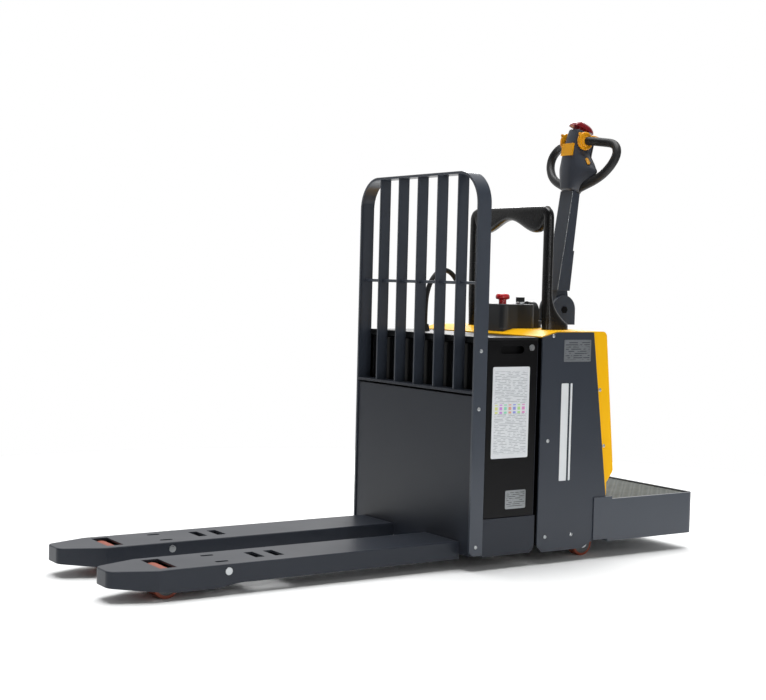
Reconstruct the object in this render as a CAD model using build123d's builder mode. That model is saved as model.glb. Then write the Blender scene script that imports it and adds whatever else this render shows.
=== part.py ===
"""Electric rider pallet truck, built piece by piece in millimetres.

Frame: +X points from the fork tips to the operator platform, +Z is up and Y = 0 is
the truck's centre plane, so the operator's left hand, facing the forks, is -Y.
The origin is on the floor, under the middle of the truck's length.
"""
from build123d import *
from math import asin, cos, degrees, radians, sin
from typing import NamedTuple
import os

os.makedirs("parts", exist_ok=True)

LEFT, RIGHT = -1, 1

# ---------------------------------------------------------------- driving sizes
fork_length = 1150.0        # heel to tip
body_length = 960.0         # heel to the rear of the platform
fork_span = 560.0           # across both forks
fork_width = 187.0
fork_top = 90.0             # forks lowered
lift_height = 120.0
frame_width = 673.0         # across the backrest and the battery box
chassis_width = 680.0       # across the side panels
platform_width = 688.0
backrest_top = 1248.0
cover_top = 751.0           # flat top of the drive cover
running_fit = 0.1           # radial clearance of a shaft that turns in its bore
seat_gap = 0.5              # gap between pieces that sit in one another

front_x = -(fork_length + body_length) / 2
heel_x = front_x + fork_length
fork_y = (fork_span - fork_width) / 2


def behind(distance):
    """X of a place that lies this far behind the fork heel."""
    return heel_x + distance


def wall_plane(side, outer, thick):
    """Plane for a wall along X, from which extrude(amount=thick) fills it, whichever the side."""
    return Plane.XZ.offset(-max(side * outer, side * (outer - thick)))


# ---------------------------------------------------------------- forks
fork_sheet = 6.0
plate_recess = 4.0          # front plate behind the front edges of the backrest legs
tip_half = 44.5             # half width of the square end of the tip
tip_radius = 26.0
taper_length = 132.0
tip_underside = 44.0
skirt_low = 24.0            # skirt underside beside the load wheel
skirt_high = 34.0           # skirt underside along the rest of the fork
skirt_deep_start, skirt_deep_end, skirt_rise_end = 960.0, 850.0, 754.0   # ahead of the heel
fork_edge_radius = 4.0
wheel_radius = 42.0
wheel_width = 110.0
wheel_ahead = 978.0         # load wheel axle ahead of the heel
pivot_ahead = 805.0         # arm pivot ahead of the heel
pivot_z = 70.0
window_length, window_width = 2 * 26.0, 130.0
oil_slot_length, oil_slot_width, oil_slot_offset = 42.0, 16.0, 48.0
cross_slot_length, cross_slot_width, cross_slots_ahead = 30.0, 80.0, (675.0, 610.0)
pivot_pin_radius = 8.0
pin_cap_radius, pin_cap_thick = 11.0, 2.0

wheel_x = heel_x - wheel_ahead
pivot_x = heel_x - pivot_ahead
fork_end_x = behind(plate_recess)


def make_fork(side):
    """A fork blade of bent sheet, open underneath, with a tip that tapers in plan."""
    y, half = side * fork_y, fork_width / 2
    taper_x = front_x + taper_length
    with BuildPart() as fork:
        with BuildSketch(Plane.XY.offset(skirt_low)) as plan:
            with BuildLine():
                Polyline(
                    (front_x, y - tip_half), (taper_x, y - half), (fork_end_x, y - half),
                    (fork_end_x, y + half), (taper_x, y + half), (front_x, y + tip_half),
                    close=True,
                )
            make_face()
            fillet(plan.vertices().group_by(Axis.X)[0], tip_radius)
        extrude(amount=fork_top - skirt_low)
        open_faces = [fork.faces().sort_by(Axis.Z)[0], fork.faces().sort_by(Axis.X)[-1]]
        offset(amount=-fork_sheet, openings=open_faces)
        fillet(fork.faces().sort_by(Axis.Z)[-1].outer_wire().edges(), fork_edge_radius)
        with BuildSketch(Plane.XZ.offset(-y)):
            with BuildLine():
                mid = ((skirt_deep_end + skirt_rise_end) / 2, (skirt_low + skirt_high) / 2)
                Line((front_x, fork_top), (front_x, tip_underside))
                Line((front_x, tip_underside), (heel_x - skirt_deep_start, skirt_low))
                Line((heel_x - skirt_deep_start, skirt_low), (heel_x - skirt_deep_end, skirt_low))
                TangentArc(
                    (heel_x - skirt_deep_end, skirt_low), (heel_x - mid[0], mid[1]), tangent=(1, 0)
                )
                TangentArc(
                    (heel_x - skirt_rise_end, skirt_high), (heel_x - mid[0], mid[1]), tangent=(-1, 0)
                )
                Line((heel_x - skirt_rise_end, skirt_high), (fork_end_x, skirt_high))
                Line((fork_end_x, skirt_high), (fork_end_x, fork_top))
                Line((fork_end_x, fork_top), (front_x, fork_top))
            make_face()
        extrude(amount=fork_width, both=True, mode=Mode.INTERSECT)
        with BuildSketch(Plane.XY.offset(fork_top)):
            with Locations((wheel_x, y)):
                Rectangle(window_length, window_width)
            with Locations((pivot_x, y - oil_slot_offset), (pivot_x, y + oil_slot_offset)):
                SlotOverall(oil_slot_length, oil_slot_width)
            for ahead in cross_slots_ahead:
                with Locations((heel_x - ahead, y)):
                    Rectangle(cross_slot_length, cross_slot_width)
        extrude(amount=-2 * fork_sheet, mode=Mode.SUBTRACT)
        with BuildSketch(Plane.XZ.offset(-y)):
            with Locations((pivot_x, pivot_z)):
                Circle(pivot_pin_radius + running_fit)
        extrude(amount=fork_width, both=True, mode=Mode.SUBTRACT)
    return fork


fork_left = make_fork(LEFT)
fork_left.part.label = "fork_left"
fork_right = make_fork(RIGHT)
fork_right.part.label = "fork_right"

with BuildPart() as pivot_pins:
    for side in (LEFT, RIGHT):
        with BuildSketch(Plane.XZ.offset(-side * fork_y)):
            with Locations((pivot_x, pivot_z)):
                Circle(pivot_pin_radius)
        extrude(amount=fork_width / 2 + pin_cap_thick, both=True)
        for face_y in (side * fork_y - fork_width / 2, side * fork_y + fork_width / 2 + pin_cap_thick):
            with BuildSketch(Plane.XZ.offset(-face_y)):
                with Locations((pivot_x, pivot_z)):
                    Circle(pin_cap_radius)
            extrude(amount=pin_cap_thick)
pivot_pins.part.label = "pivot_pins"

# ---------------------------------------------------------------- load wheels and lift linkage
arm_thick = 10.0
arm_gap = 3.0               # between a wheel and the arm beside it
arm_eye_radius, arm_tube_radius = 13.5, 12.5
axle_eye_radius = 16.0
axle_radius = 12.0
tyre_thick = 10.0
hub_inset = 2.0
lug_drop = 25.0             # arm pivot to pull-rod pin
lug_thick, lug_gap = 6.0, 8.0
lug_pin_radius, lug_radius = 5.0, 10.0
rod_radius = 7.0
rod_eye_half = 6.0
rocker_behind = 205.0       # rocker shaft behind the heel
rocker_shaft_radius = 13.0
rocker_neck_radius = 9.0    # where a raised rod passes under the shaft
rocker_shaft_half = 215.0
crank_length, crank_thick, crank_y = 160.0, 12.0, 60.0
crank_end_radius = 18.0

arm_reach = wheel_ahead - pivot_ahead
arm_drop = pivot_z - wheel_radius
arm_length = (arm_reach**2 + arm_drop**2) ** 0.5
arm_swing = degrees(asin((arm_drop + lift_height) / arm_length) - asin(arm_drop / arm_length))
crank_rise = degrees(asin(lift_height / (2 * crank_length * sin(radians(arm_swing / 2)))))
crank_start = (90 - crank_rise) - arm_swing / 2      # crank below level with the forks lowered
rocker_x = behind(rocker_behind)
rod_z = pivot_z - lug_drop
arm_inner = wheel_width / 2 + arm_gap

with BuildPart() as wheel_arms:
    for side in (LEFT, RIGHT):
        y = side * fork_y
        for cheek_y in (y - arm_inner, y + arm_inner + arm_thick):
            with BuildSketch(Plane.XZ.offset(-cheek_y)):
                with Locations((wheel_x, wheel_radius)):
                    Circle(axle_eye_radius)
                with Locations((pivot_x, pivot_z)):
                    Circle(arm_eye_radius)
                make_hull()
            extrude(amount=arm_thick)
        with BuildSketch(Plane.XZ.offset(-y)):
            with Locations((pivot_x, pivot_z)):
                Circle(arm_tube_radius)
        extrude(amount=arm_inner, both=True)
        for lug_y in (y - lug_gap, y + lug_gap + lug_thick):
            with BuildSketch(Plane.XZ.offset(-lug_y)):
                with Locations((pivot_x, pivot_z), (pivot_x, rod_z)):
                    Circle(lug_radius)
                make_hull()
            extrude(amount=lug_thick)
        with BuildSketch(Plane.XZ.offset(-y)):
            with Locations((pivot_x, rod_z)):
                Circle(lug_pin_radius)
        extrude(amount=lug_gap, both=True)
        with BuildSketch(Plane.XZ.offset(-y)):
            with Locations((pivot_x, pivot_z)):
                Circle(pivot_pin_radius + running_fit)
            with Locations((wheel_x, wheel_radius)):
                Circle(axle_radius)
        extrude(amount=fork_width / 2, both=True, mode=Mode.SUBTRACT)
wheel_arms.part.label = "wheel_arms"

with BuildPart() as wheel_axles:
    for side in (LEFT, RIGHT):
        with BuildSketch(Plane.XZ.offset(-side * fork_y)):
            with Locations((wheel_x, wheel_radius)):
                Circle(axle_radius)
        extrude(amount=arm_inner + arm_thick, both=True)
wheel_axles.part.label = "wheel_axles"


def make_roller(x, y, radius, width, bore, tyre, inset):
    """A wheel on an axle along Y, its tyre bonded to a hub that stands back at each end."""
    with BuildPart() as roller:
        with BuildSketch(Plane.XZ.offset(-y)):
            with Locations((x, radius)):
                Circle(radius)
        extrude(amount=width / 2, both=True)
        chamfer(roller.edges().filter_by(GeomType.CIRCLE), tyre / 4)
        for end in (y - width / 2, y + width / 2 - inset):
            with BuildSketch(Plane.XZ.offset(-end - inset)):
                with Locations((x, radius)):
                    Circle(radius - tyre)
            extrude(amount=inset, mode=Mode.SUBTRACT)
        with BuildSketch(Plane.XZ.offset(-y)):
            with Locations((x, radius)):
                Circle(bore + running_fit)
        extrude(amount=width, both=True, mode=Mode.SUBTRACT)
    return roller


load_wheel_left = make_roller(
    wheel_x, LEFT * fork_y, wheel_radius, wheel_width, axle_radius, tyre_thick, hub_inset
)
load_wheel_left.part.label = "load_wheel_left"
load_wheel_right = make_roller(
    wheel_x, RIGHT * fork_y, wheel_radius, wheel_width, axle_radius, tyre_thick, hub_inset
)
load_wheel_right.part.label = "load_wheel_right"

with BuildPart() as pull_rods:
    for side in (LEFT, RIGHT):
        y = side * fork_y
        with BuildSketch(Plane.YZ.offset(pivot_x)):
            with Locations((y, rod_z)):
                Circle(rod_radius)
        extrude(amount=rocker_x - pivot_x)
        with BuildSketch(Plane.XZ.offset(-y)):
            with Locations((pivot_x, rod_z), (rocker_x, rod_z)):
                Circle(lug_radius)
        extrude(amount=rod_eye_half, both=True)
        with BuildSketch(Plane.XZ.offset(-y)):
            with Locations((pivot_x, rod_z), (rocker_x, rod_z)):
                Circle(lug_pin_radius + running_fit)
        extrude(amount=2 * rod_radius, both=True, mode=Mode.SUBTRACT)
pull_rods.part.label = "pull_rods"

crank_end = (
    rocker_x - crank_length * cos(radians(crank_start)),
    pivot_z - crank_length * sin(radians(crank_start)),
)
with BuildPart() as rocker:
    with BuildSketch(Plane.XZ):
        with Locations((rocker_x, pivot_z)):
            Circle(rocker_shaft_radius)
    extrude(amount=rocker_shaft_half, both=True)
    for side in (LEFT, RIGHT):
        y = side * fork_y
        for lug_y in (y - lug_gap, y + lug_gap + lug_thick):
            with BuildSketch(Plane.XZ.offset(-lug_y)):
                with Locations((rocker_x, pivot_z), (rocker_x, rod_z)):
                    Circle(lug_radius)
                make_hull()
            extrude(amount=lug_thick)
        with BuildSketch(Plane.XZ.offset(-y)):
            with Locations((rocker_x, pivot_z)):
                Circle(rocker_shaft_radius + rod_radius)
                Circle(rocker_neck_radius, mode=Mode.SUBTRACT)
        extrude(amount=lug_gap, both=True, mode=Mode.SUBTRACT)
        with BuildSketch(Plane.XZ.offset(-y)):
            with Locations((rocker_x, rod_z)):
                Circle(lug_pin_radius)
        extrude(amount=lug_gap, both=True)
        with BuildSketch(Plane.XZ.offset(-side * crank_y)):
            with Locations((rocker_x, pivot_z)):
                Circle(rocker_shaft_radius + rod_radius)
            with Locations(crank_end):
                Circle(crank_end_radius)
            make_hull()
        extrude(amount=crank_thick / 2, both=True)
rocker.part.label = "rocker"

# ---------------------------------------------------------------- load backrest
leg_depth = 50.0
leg_thick = 8.0
leg_bottom = 50.0
leg_corner = 14.0
backrest_radius = 104.0
slat_count = 5
slat_depth, slat_thick = 40.0, 6.0
plate_top = 549.0
cross_bar_z, cross_bar_thick = 556.0, 8.0
rod_height = 900.0
cross_rod_radius = 5.0

leg_mid_x = behind(leg_depth / 2)
inner_half = frame_width / 2 - leg_thick
slat_pitch = (frame_width - leg_thick) / (slat_count + 1)
slat_ys = [slat_pitch * (i - (slat_count - 1) / 2) for i in range(slat_count)]

with BuildPart() as backrest_frame:
    with BuildSketch(Plane.YZ.offset(heel_x)) as outline:
        with Locations((0, (leg_bottom + backrest_top) / 2)):
            Rectangle(frame_width, backrest_top - leg_bottom)
        fillet(outline.vertices().group_by(Axis.Y)[-1], backrest_radius)
    extrude(amount=leg_depth)
    with BuildSketch(Plane.YZ.offset(heel_x)) as opening:
        with Locations((0, (leg_bottom + backrest_top) / 2 - leg_thick)):
            Rectangle(2 * inner_half, backrest_top - leg_bottom)
        fillet(opening.vertices().group_by(Axis.Y)[-1], backrest_radius - leg_thick)
    extrude(amount=leg_depth, mode=Mode.SUBTRACT)
    toes = backrest_frame.edges().filter_by(Axis.Y).group_by(Axis.Z)[0].group_by(Axis.X)[0]
    chamfer(toes, leg_corner)
backrest_frame.part.label = "backrest_frame"

with BuildPart() as backrest_slats:
    with BuildSketch(Plane.XY.offset(cross_bar_z + cross_bar_thick)):
        with Locations(*[(leg_mid_x, y) for y in slat_ys]):
            Rectangle(slat_depth, slat_thick)
    extrude(amount=backrest_top - leg_thick - cross_bar_z - cross_bar_thick)
    with BuildSketch(Plane.XZ):
        with Locations((leg_mid_x, rod_height)):
            Circle(cross_rod_radius + running_fit)
    extrude(amount=frame_width / 2, both=True, mode=Mode.SUBTRACT)
backrest_slats.part.label = "backrest_slats"

with BuildPart() as backrest_rod:
    with BuildSketch(Plane.XZ):
        with Locations((leg_mid_x, rod_height)):
            Circle(cross_rod_radius)
    extrude(amount=inner_half, both=True)
backrest_rod.part.label = "backrest_rod"

with BuildPart() as backrest_cross_bar:
    with BuildSketch(Plane.XY.offset(cross_bar_z)):
        with Locations((leg_mid_x, 0)):
            Rectangle(leg_depth, 2 * inner_half)
    extrude(amount=cross_bar_thick)
backrest_cross_bar.part.label = "backrest_cross_bar"

plate_thick = 8.0
rod_notch_width, rod_notch_top = 40.0, 72.0
plate_x = behind(plate_recess)
with BuildPart() as front_plate:
    with BuildSketch(Plane.YZ.offset(plate_x)):
        with Locations((0, (leg_bottom + plate_top) / 2)):
            Rectangle(2 * inner_half, plate_top - leg_bottom)
        with Locations(*[(side * fork_y, leg_bottom) for side in (LEFT, RIGHT)]):
            Rectangle(rod_notch_width, 2 * (rod_notch_top - leg_bottom), mode=Mode.SUBTRACT)
    extrude(amount=plate_thick)
front_plate.part.label = "front_plate"

# ---------------------------------------------------------------- battery box and battery
box_half = 336.0            # outside of the lower side plates and the doors
box_rear = 258.0            # rear edge of the side plates behind the heel
box_sheet = 8.0
side_plate_bottom, side_plate_top = 44.0, 163.0
side_plate_corner = 26.0
floor_z = 158.0
rear_wall_x, rear_wall_thick = 216.0, 6.0
box_top = 712.0
post_wall, post_half = 8.0, 8.0          # wall and half width of the channel posts
lip_front, lip_thick = 236.0, 3.0       # lip that a door lock's cam turns behind
bearing_y, bearing_thick, bearing_half = 140.0, 10.0, 22.0
lift_lug_z, lift_lug_thick, lift_lug_half = 568.0, 12.0, 25.0
cylinder_behind = 250.0
cylinder_radius = 21.0

with BuildPart() as battery_box:
    floor_x = (behind(plate_recess + plate_thick), behind(rear_wall_x + rear_wall_thick))
    with BuildSketch(Plane.XY.offset(floor_z)):
        with Locations(((floor_x[0] + floor_x[1]) / 2, 0)):
            Rectangle(floor_x[1] - floor_x[0], 2 * inner_half)
    extrude(amount=-box_sheet)
    with BuildSketch(Plane.YZ.offset(behind(rear_wall_x))):
        with Locations((0, (floor_z + box_top) / 2)):
            Rectangle(2 * (inner_half - post_half), box_top - floor_z)
    extrude(amount=rear_wall_thick)
    for side in (LEFT, RIGHT):
        with BuildSketch(wall_plane(side, box_half, box_sheet)) as lower:
            with Locations((behind((leg_depth + box_rear) / 2), (side_plate_bottom + side_plate_top) / 2)):
                Rectangle(box_rear - leg_depth, side_plate_top - side_plate_bottom)
            rear_low = lower.vertices().group_by(Axis.X)[-1].sort_by(Axis.Y)[:1]
            fillet(rear_low, side_plate_corner)
        extrude(amount=box_sheet)
        with BuildSketch(Plane.XY.offset(floor_z - box_sheet)):
            with Locations((behind(box_rear - post_wall / 2), side * (inner_half - post_half))):
                Rectangle(post_wall, 2 * post_half)
            with Locations(
                (behind((lip_front + box_rear) / 2), side * (inner_half - lip_thick / 2))
            ):
                Rectangle(box_rear - lip_front, lip_thick)
            with Locations(
                (behind((rear_wall_x + box_rear) / 2), side * (inner_half - 3 * post_half / 2))
            ):
                Rectangle(box_rear - rear_wall_x, post_half)
        extrude(amount=box_top - floor_z + box_sheet)
        with BuildSketch(Plane.XZ.offset(-side * bearing_y - bearing_thick / 2)):
            with Locations((rocker_x, (pivot_z + floor_z) / 2)):
                Rectangle(2 * bearing_half, floor_z - pivot_z)
            with Locations((rocker_x, pivot_z)):
                Circle(bearing_half)
                Circle(rocker_shaft_radius + running_fit, mode=Mode.SUBTRACT)
        extrude(amount=bearing_thick)
    lug_front = behind(rear_wall_x + rear_wall_thick)
    lug_rear = behind(cylinder_behind) + cylinder_radius
    with BuildSketch(Plane.XY.offset(lift_lug_z)):
        with Locations(((lug_front + lug_rear) / 2, 0)):
            Rectangle(lug_rear - lug_front, 2 * lift_lug_half)
    extrude(amount=lift_lug_thick)
battery_box.part.label = "battery_box"

battery_front, battery_rear = 52.0, 212.0
battery_half = 316.0
case_wall = 5.0
cell_rows, cells_per_row = 2, 6
cell_gap = 3.0
cell_top = 690.0
plug_radius, plug_height = 11.0, 8.0
case_top = 708.0
lid_z, lid_thick, lid_skirt, lid_overhang = 724.0, 8.0, 12.0, 4.0
cable_radius = 8.5
gland_radius, gland_top_radius, gland_height = 17.0, 12.0, 22.0
cable_front_behind, cable_rear_behind = 150.0, 300.0
cable_y = 148.0

case_mid_x = behind((battery_front + battery_rear) / 2)
case_length = battery_rear - battery_front
with BuildPart() as battery_case:
    with BuildSketch(Plane.XY.offset(floor_z)):
        with Locations((case_mid_x, 0)):
            Rectangle(case_length, 2 * battery_half)
    extrude(amount=case_top - floor_z)
    offset(amount=-case_wall, openings=battery_case.faces().sort_by(Axis.Z)[-1])
battery_case.part.label = "battery_case"

cell_x = (case_length - 2 * case_wall - (cell_rows + 1) * cell_gap) / cell_rows
cell_y = (2 * (battery_half - case_wall) - (cells_per_row + 1) * cell_gap) / cells_per_row
with BuildPart() as battery_cells:
    with BuildSketch(Plane.XY.offset(floor_z + case_wall)):
        with Locations((case_mid_x, 0)):
            with GridLocations(cell_x + cell_gap, cell_y + cell_gap, cell_rows, cells_per_row):
                Rectangle(cell_x, cell_y)
    extrude(amount=cell_top - floor_z - case_wall)
    with BuildSketch(Plane.XY.offset(cell_top)):
        with Locations((case_mid_x, 0)):
            with GridLocations(cell_x + cell_gap, cell_y + cell_gap, cell_rows, cells_per_row):
                Circle(plug_radius)
    extrude(amount=plug_height)
battery_cells.part.label = "battery_cells"

with BuildPart() as battery_lid:
    lid_x = (behind(battery_front - lid_overhang - 1), behind(box_rear))
    with BuildSketch(Plane.XY.offset(lid_z - lid_skirt)):
        with Locations(((lid_x[0] + lid_x[1]) / 2, 0)):
            Rectangle(lid_x[1] - lid_x[0], 2 * inner_half - 2 * seat_gap)
    extrude(amount=lid_thick + lid_skirt)
    fillet(battery_lid.edges().group_by(Axis.Z)[-1], lid_overhang / 2)
    with BuildSketch(Plane.XY.offset(lid_z - lid_skirt)):
        with Locations(((lid_x[0] + lid_x[1]) / 2, 0)):
            Rectangle(lid_x[1] - lid_x[0] - 2 * lid_overhang, 2 * inner_half - 4 * lid_overhang)
    extrude(amount=lid_skirt, mode=Mode.SUBTRACT)
    with BuildSketch(Plane.XY.offset(lid_z + lid_thick)):
        with Locations((behind(cable_front_behind), cable_y)):
            Circle(gland_radius)
    with BuildSketch(Plane.XY.offset(lid_z + lid_thick + gland_height)):
        with Locations((behind(cable_front_behind), cable_y)):
            Circle(gland_top_radius)
    loft()
battery_lid.part.label = "battery_lid"

door_thick = 4.0
door_front, door_rear = 52.0, 250.0
door_bottom, door_top = 165.0, 724.0
hand_hole_behind, hand_hole_z = 148.0, 693.0
hand_hole_length, hand_hole_height = 96.0, 25.0
lock_behind, lock_z, lock_radius, lock_face = 226.5, 700.0, 10.0, 2.0
lock_barrel_radius, lock_barrel_length = 8.0, 14.0
cam_length, cam_thick = 26.0, 3.0


def make_door(side):
    """A side door of the battery box, with its hand hole and a rounded lower edge."""
    with BuildPart() as door:
        with BuildSketch(wall_plane(side, box_half, door_thick)):
            with Locations((behind((door_front + door_rear) / 2), (door_bottom + door_top) / 2)):
                Rectangle(door_rear - door_front, door_top - door_bottom)
            with Locations((behind(hand_hole_behind), hand_hole_z)):
                SlotOverall(hand_hole_length, hand_hole_height, mode=Mode.SUBTRACT)
            with Locations((behind(lock_behind), lock_z)):
                Circle(lock_barrel_radius + running_fit, mode=Mode.SUBTRACT)
        extrude(amount=door_thick)
        low_edges = door.edges().filter_by(Axis.X).group_by(Axis.Z)[0]
        fillet(low_edges, door_thick / 2 - running_fit)
    return door


def make_lock(side):
    """A quarter-turn lock: face, barrel and the cam behind the door."""
    with BuildPart() as lock:
        with BuildSketch(Plane.XZ.offset(-side * box_half)):
            with Locations((behind(lock_behind), lock_z)):
                Circle(lock_radius)
        extrude(amount=-side * lock_face)
        with BuildSketch(Plane.XZ.offset(-side * box_half)):
            with Locations((behind(lock_behind), lock_z)):
                Circle(lock_barrel_radius)
        extrude(amount=side * lock_barrel_length)
        with BuildSketch(Plane.XZ.offset(-side * (box_half - lock_barrel_length + cam_thick))):
            with Locations((behind(lock_behind), lock_z - cam_length / 2 + lock_barrel_radius)):
                Rectangle(2 * lock_barrel_radius, cam_length)
        extrude(amount=side * cam_thick)
    return lock


battery_door_left = make_door(LEFT)
battery_door_left.part.label = "battery_door_left"
battery_door_right = make_door(RIGHT)
battery_door_right.part.label = "battery_door_right"
door_lock_left = make_lock(LEFT)
door_lock_left.part.label = "door_lock_left"
door_lock_right = make_lock(RIGHT)
door_lock_right.part.label = "door_lock_right"

# ---------------------------------------------------------------- battery cable
cable_start = (behind(cable_front_behind), cable_y, lid_z + lid_thick + gland_height)
cable_end = (behind(cable_rear_behind), cable_y, 766.0)
cable_route = [
    cable_start,
    (behind(cable_front_behind), cable_y, 806.0),
    (behind(154), 147.5, 862.0),
    (behind(174), 148.0, 910.0),
    (behind(212), 150.0, 944.0),
    (behind(254), 151.0, 938.0),
    (behind(287), 151.0, 902.0),
    (behind(301), 150.0, 858.0),
    (behind(cable_rear_behind), cable_y, 812.0),
    cable_end,
]
bend_share = 0.45           # of the shorter run that a bend's arc takes up


def bend_radii(route):
    """Radius of each bend of a route, as large as the two runs that meet there allow."""
    points = [Vector(*point) for point in route]
    radii = []
    for before, corner, after in zip(points, points[1:], points[2:]):
        run_in, run_out = corner - before, after - corner
        turn = radians(run_in.get_angle(run_out))
        share = bend_share * min(run_in.length, run_out.length)
        radii.append(share * cos(turn / 2) / sin(turn / 2))
    return radii


cable_radii = bend_radii(cable_route)
print("battery cable bend radii:", [round(radius) for radius in cable_radii])
with BuildPart() as battery_cable:
    with BuildLine() as cable_line:
        FilletPolyline(*cable_route, radius=cable_radii)
    with BuildSketch(Plane(cable_line.line @ 0, z_dir=cable_line.line % 0)):
        Circle(cable_radius)
    sweep()
battery_cable.part.label = "battery_cable"

# ---------------------------------------------------------------- drive chassis
panel_thick = 6.0
panel_half = chassis_width / 2
panel_front, panel_shoulder = 268.0, 332.0
panel_front_top, panel_top, panel_top_rear = 732.0, 748.0, 483.0
panel_rear, panel_rear_z = 556.0, 207.0
panel_bottom = 41.0
panel_notch = 22.0          # of the front lower corner
panel_cut_front, panel_cut_rear, panel_cut_z = 455.0, 505.0, 64.0
bulkhead_x, bulkhead_thick = 280.0, 8.0
bulkhead_bottom, bulkhead_top = 60.0, 725.0
deck_plate_z, deck_plate_thick = 300.0, 10.0
rear_plate_x, rear_plate_thick = 538.0, 6.0
rear_plate_bottom = 92.0
cover_wall, cover_gap = 4.0, 0.5     # of the drive cover, and its clearance
cheek_front, cheek_bottom = 475.0, 207.0     # of the cover's side walls
drive_behind = 412.0        # steering axis of the drive wheel behind the heel
motor_radius = 75.0
drive_gap = 3.0
tongue_front, tongue_top, tongue_thick, tongue_width = 30.0, 46.0, 8.0, 30.0
column_behind = 500.0       # steering axis of the tiller behind the heel
column_radius = 32.0
column_plate_z, column_plate_thick, column_plate_length = 700.0, 10.0, 84.0
foot_z = 60.0
caster_plate_z, caster_plate_thick = 90.0, 8.0
caster_behind, caster_y = 488.0, 259.0
caster_stem_radius = 10.0
caster_plate_front, caster_plate_rear, caster_plate_inner = 430.0, 544.0, 200.0


def make_side_panel(side):
    """A steel side panel of the drive chassis."""
    with BuildPart() as panel:
        with BuildSketch(wall_plane(side, panel_half, panel_thick)):
            with BuildLine():
                Polyline(
                    (behind(panel_front), panel_bottom + panel_notch),
                    (behind(panel_front), panel_front_top),
                    (behind(panel_shoulder), panel_top),
                    (behind(panel_top_rear), panel_top),
                    (behind(panel_rear), panel_rear_z),
                    (behind(panel_rear), panel_cut_z),
                    (behind(panel_cut_rear), panel_cut_z),
                    (behind(panel_cut_front), panel_bottom),
                    (behind(panel_front) + panel_notch, panel_bottom),
                    close=True,
                )
            make_face()
        extrude(amount=panel_thick)
    return panel


side_panel_left = make_side_panel(LEFT)
side_panel_left.part.label = "side_panel_left"
side_panel_right = make_side_panel(RIGHT)
side_panel_right.part.label = "side_panel_right"

chassis_inner = panel_half - panel_thick
cheek_recess = cover_wall + 2 * cover_gap
with BuildPart() as chassis_frame:
    with BuildSketch(Plane.YZ.offset(behind(bulkhead_x))):
        with Locations((0, (bulkhead_bottom + bulkhead_top) / 2)):
            Rectangle(2 * chassis_inner, bulkhead_top - bulkhead_bottom)
    extrude(amount=bulkhead_thick)
    with BuildSketch(Plane.XY.offset(deck_plate_z)):
        with Locations((behind((bulkhead_x + rear_plate_x) / 2), 0)):
            Rectangle(rear_plate_x - bulkhead_x, 2 * chassis_inner)
        with Locations((behind(drive_behind), 0)):
            Circle(motor_radius + drive_gap, mode=Mode.SUBTRACT)
    extrude(amount=deck_plate_thick)
    with BuildSketch(Plane.YZ.offset(behind(rear_plate_x))):
        with Locations((0, (rear_plate_bottom + deck_plate_z + deck_plate_thick) / 2)):
            Rectangle(2 * chassis_inner, deck_plate_z + deck_plate_thick - rear_plate_bottom)
    extrude(amount=rear_plate_thick)
    for side in (LEFT, RIGHT):
        with BuildSketch(Plane.XY.offset(tongue_top)):
            with Locations((behind((tongue_front + bulkhead_x + bulkhead_thick) / 2), side * crank_y)):
                Rectangle(bulkhead_x + bulkhead_thick - tongue_front, tongue_width)
        extrude(amount=-tongue_thick)
        with BuildSketch(Plane.YZ.offset(behind(bulkhead_x))):
            with Locations((side * crank_y, (tongue_top - tongue_thick + bulkhead_bottom) / 2)):
                Rectangle(tongue_width, bulkhead_bottom - tongue_top + tongue_thick)
        extrude(amount=bulkhead_thick)
        with BuildSketch(Plane.XY.offset(caster_plate_z)):
            with Locations(
                (behind((caster_plate_front + caster_plate_rear) / 2),
                 side * (caster_plate_inner + chassis_inner) / 2)
            ):
                Rectangle(caster_plate_rear - caster_plate_front, chassis_inner - caster_plate_inner)
            with Locations((behind(caster_behind), side * caster_y)):
                Circle(caster_stem_radius + running_fit, mode=Mode.SUBTRACT)
        extrude(amount=caster_plate_thick)
    with BuildSketch(Plane.XY.offset(column_plate_z)):
        with Locations((behind(column_behind), 0)):
            Rectangle(column_plate_length, 2 * chassis_inner)
        with Locations((behind((bulkhead_x + column_behind) / 2), 0)):
            Rectangle(column_behind - bulkhead_x, column_plate_length)
        with Locations((behind(column_behind), 0)):
            Circle(column_radius + running_fit, mode=Mode.SUBTRACT)
    extrude(amount=column_plate_thick)
    with BuildSketch(Plane.XY.offset(foot_z)):
        with Locations((behind((cylinder_behind + bulkhead_x) / 2), 0)):
            Rectangle(bulkhead_x - cylinder_behind + 2 * cylinder_radius, 2 * cylinder_radius)
    extrude(amount=box_sheet)
    with BuildSketch(Plane.XY.offset(cheek_bottom - cover_gap)):
        for side in (LEFT, RIGHT):
            with Locations(
                (behind((cheek_front + rear_plate_x + rear_plate_thick) / 2),
                 side * (chassis_inner - cheek_recess / 2))
            ):
                Rectangle(rear_plate_x + rear_plate_thick - cheek_front + 2 * cover_gap, cheek_recess)
    extrude(amount=bulkhead_top - cheek_bottom, mode=Mode.SUBTRACT)
chassis_frame.part.label = "chassis_frame"

cylinder_bore = 12.0
cylinder_top = 440.0
cylinder_floor = 12.0
piston_bottom = 150.0
with BuildPart() as lift_cylinder:
    with BuildSketch(Plane.XY.offset(foot_z + box_sheet)):
        with Locations((behind(cylinder_behind), 0)):
            Circle(cylinder_radius)
    extrude(amount=cylinder_top - foot_z - box_sheet)
    with BuildSketch(Plane.XY.offset(foot_z + box_sheet + cylinder_floor)):
        with Locations((behind(cylinder_behind), 0)):
            Circle(cylinder_bore + running_fit)
    extrude(amount=cylinder_top, mode=Mode.SUBTRACT)
lift_cylinder.part.label = "lift_cylinder"

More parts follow.
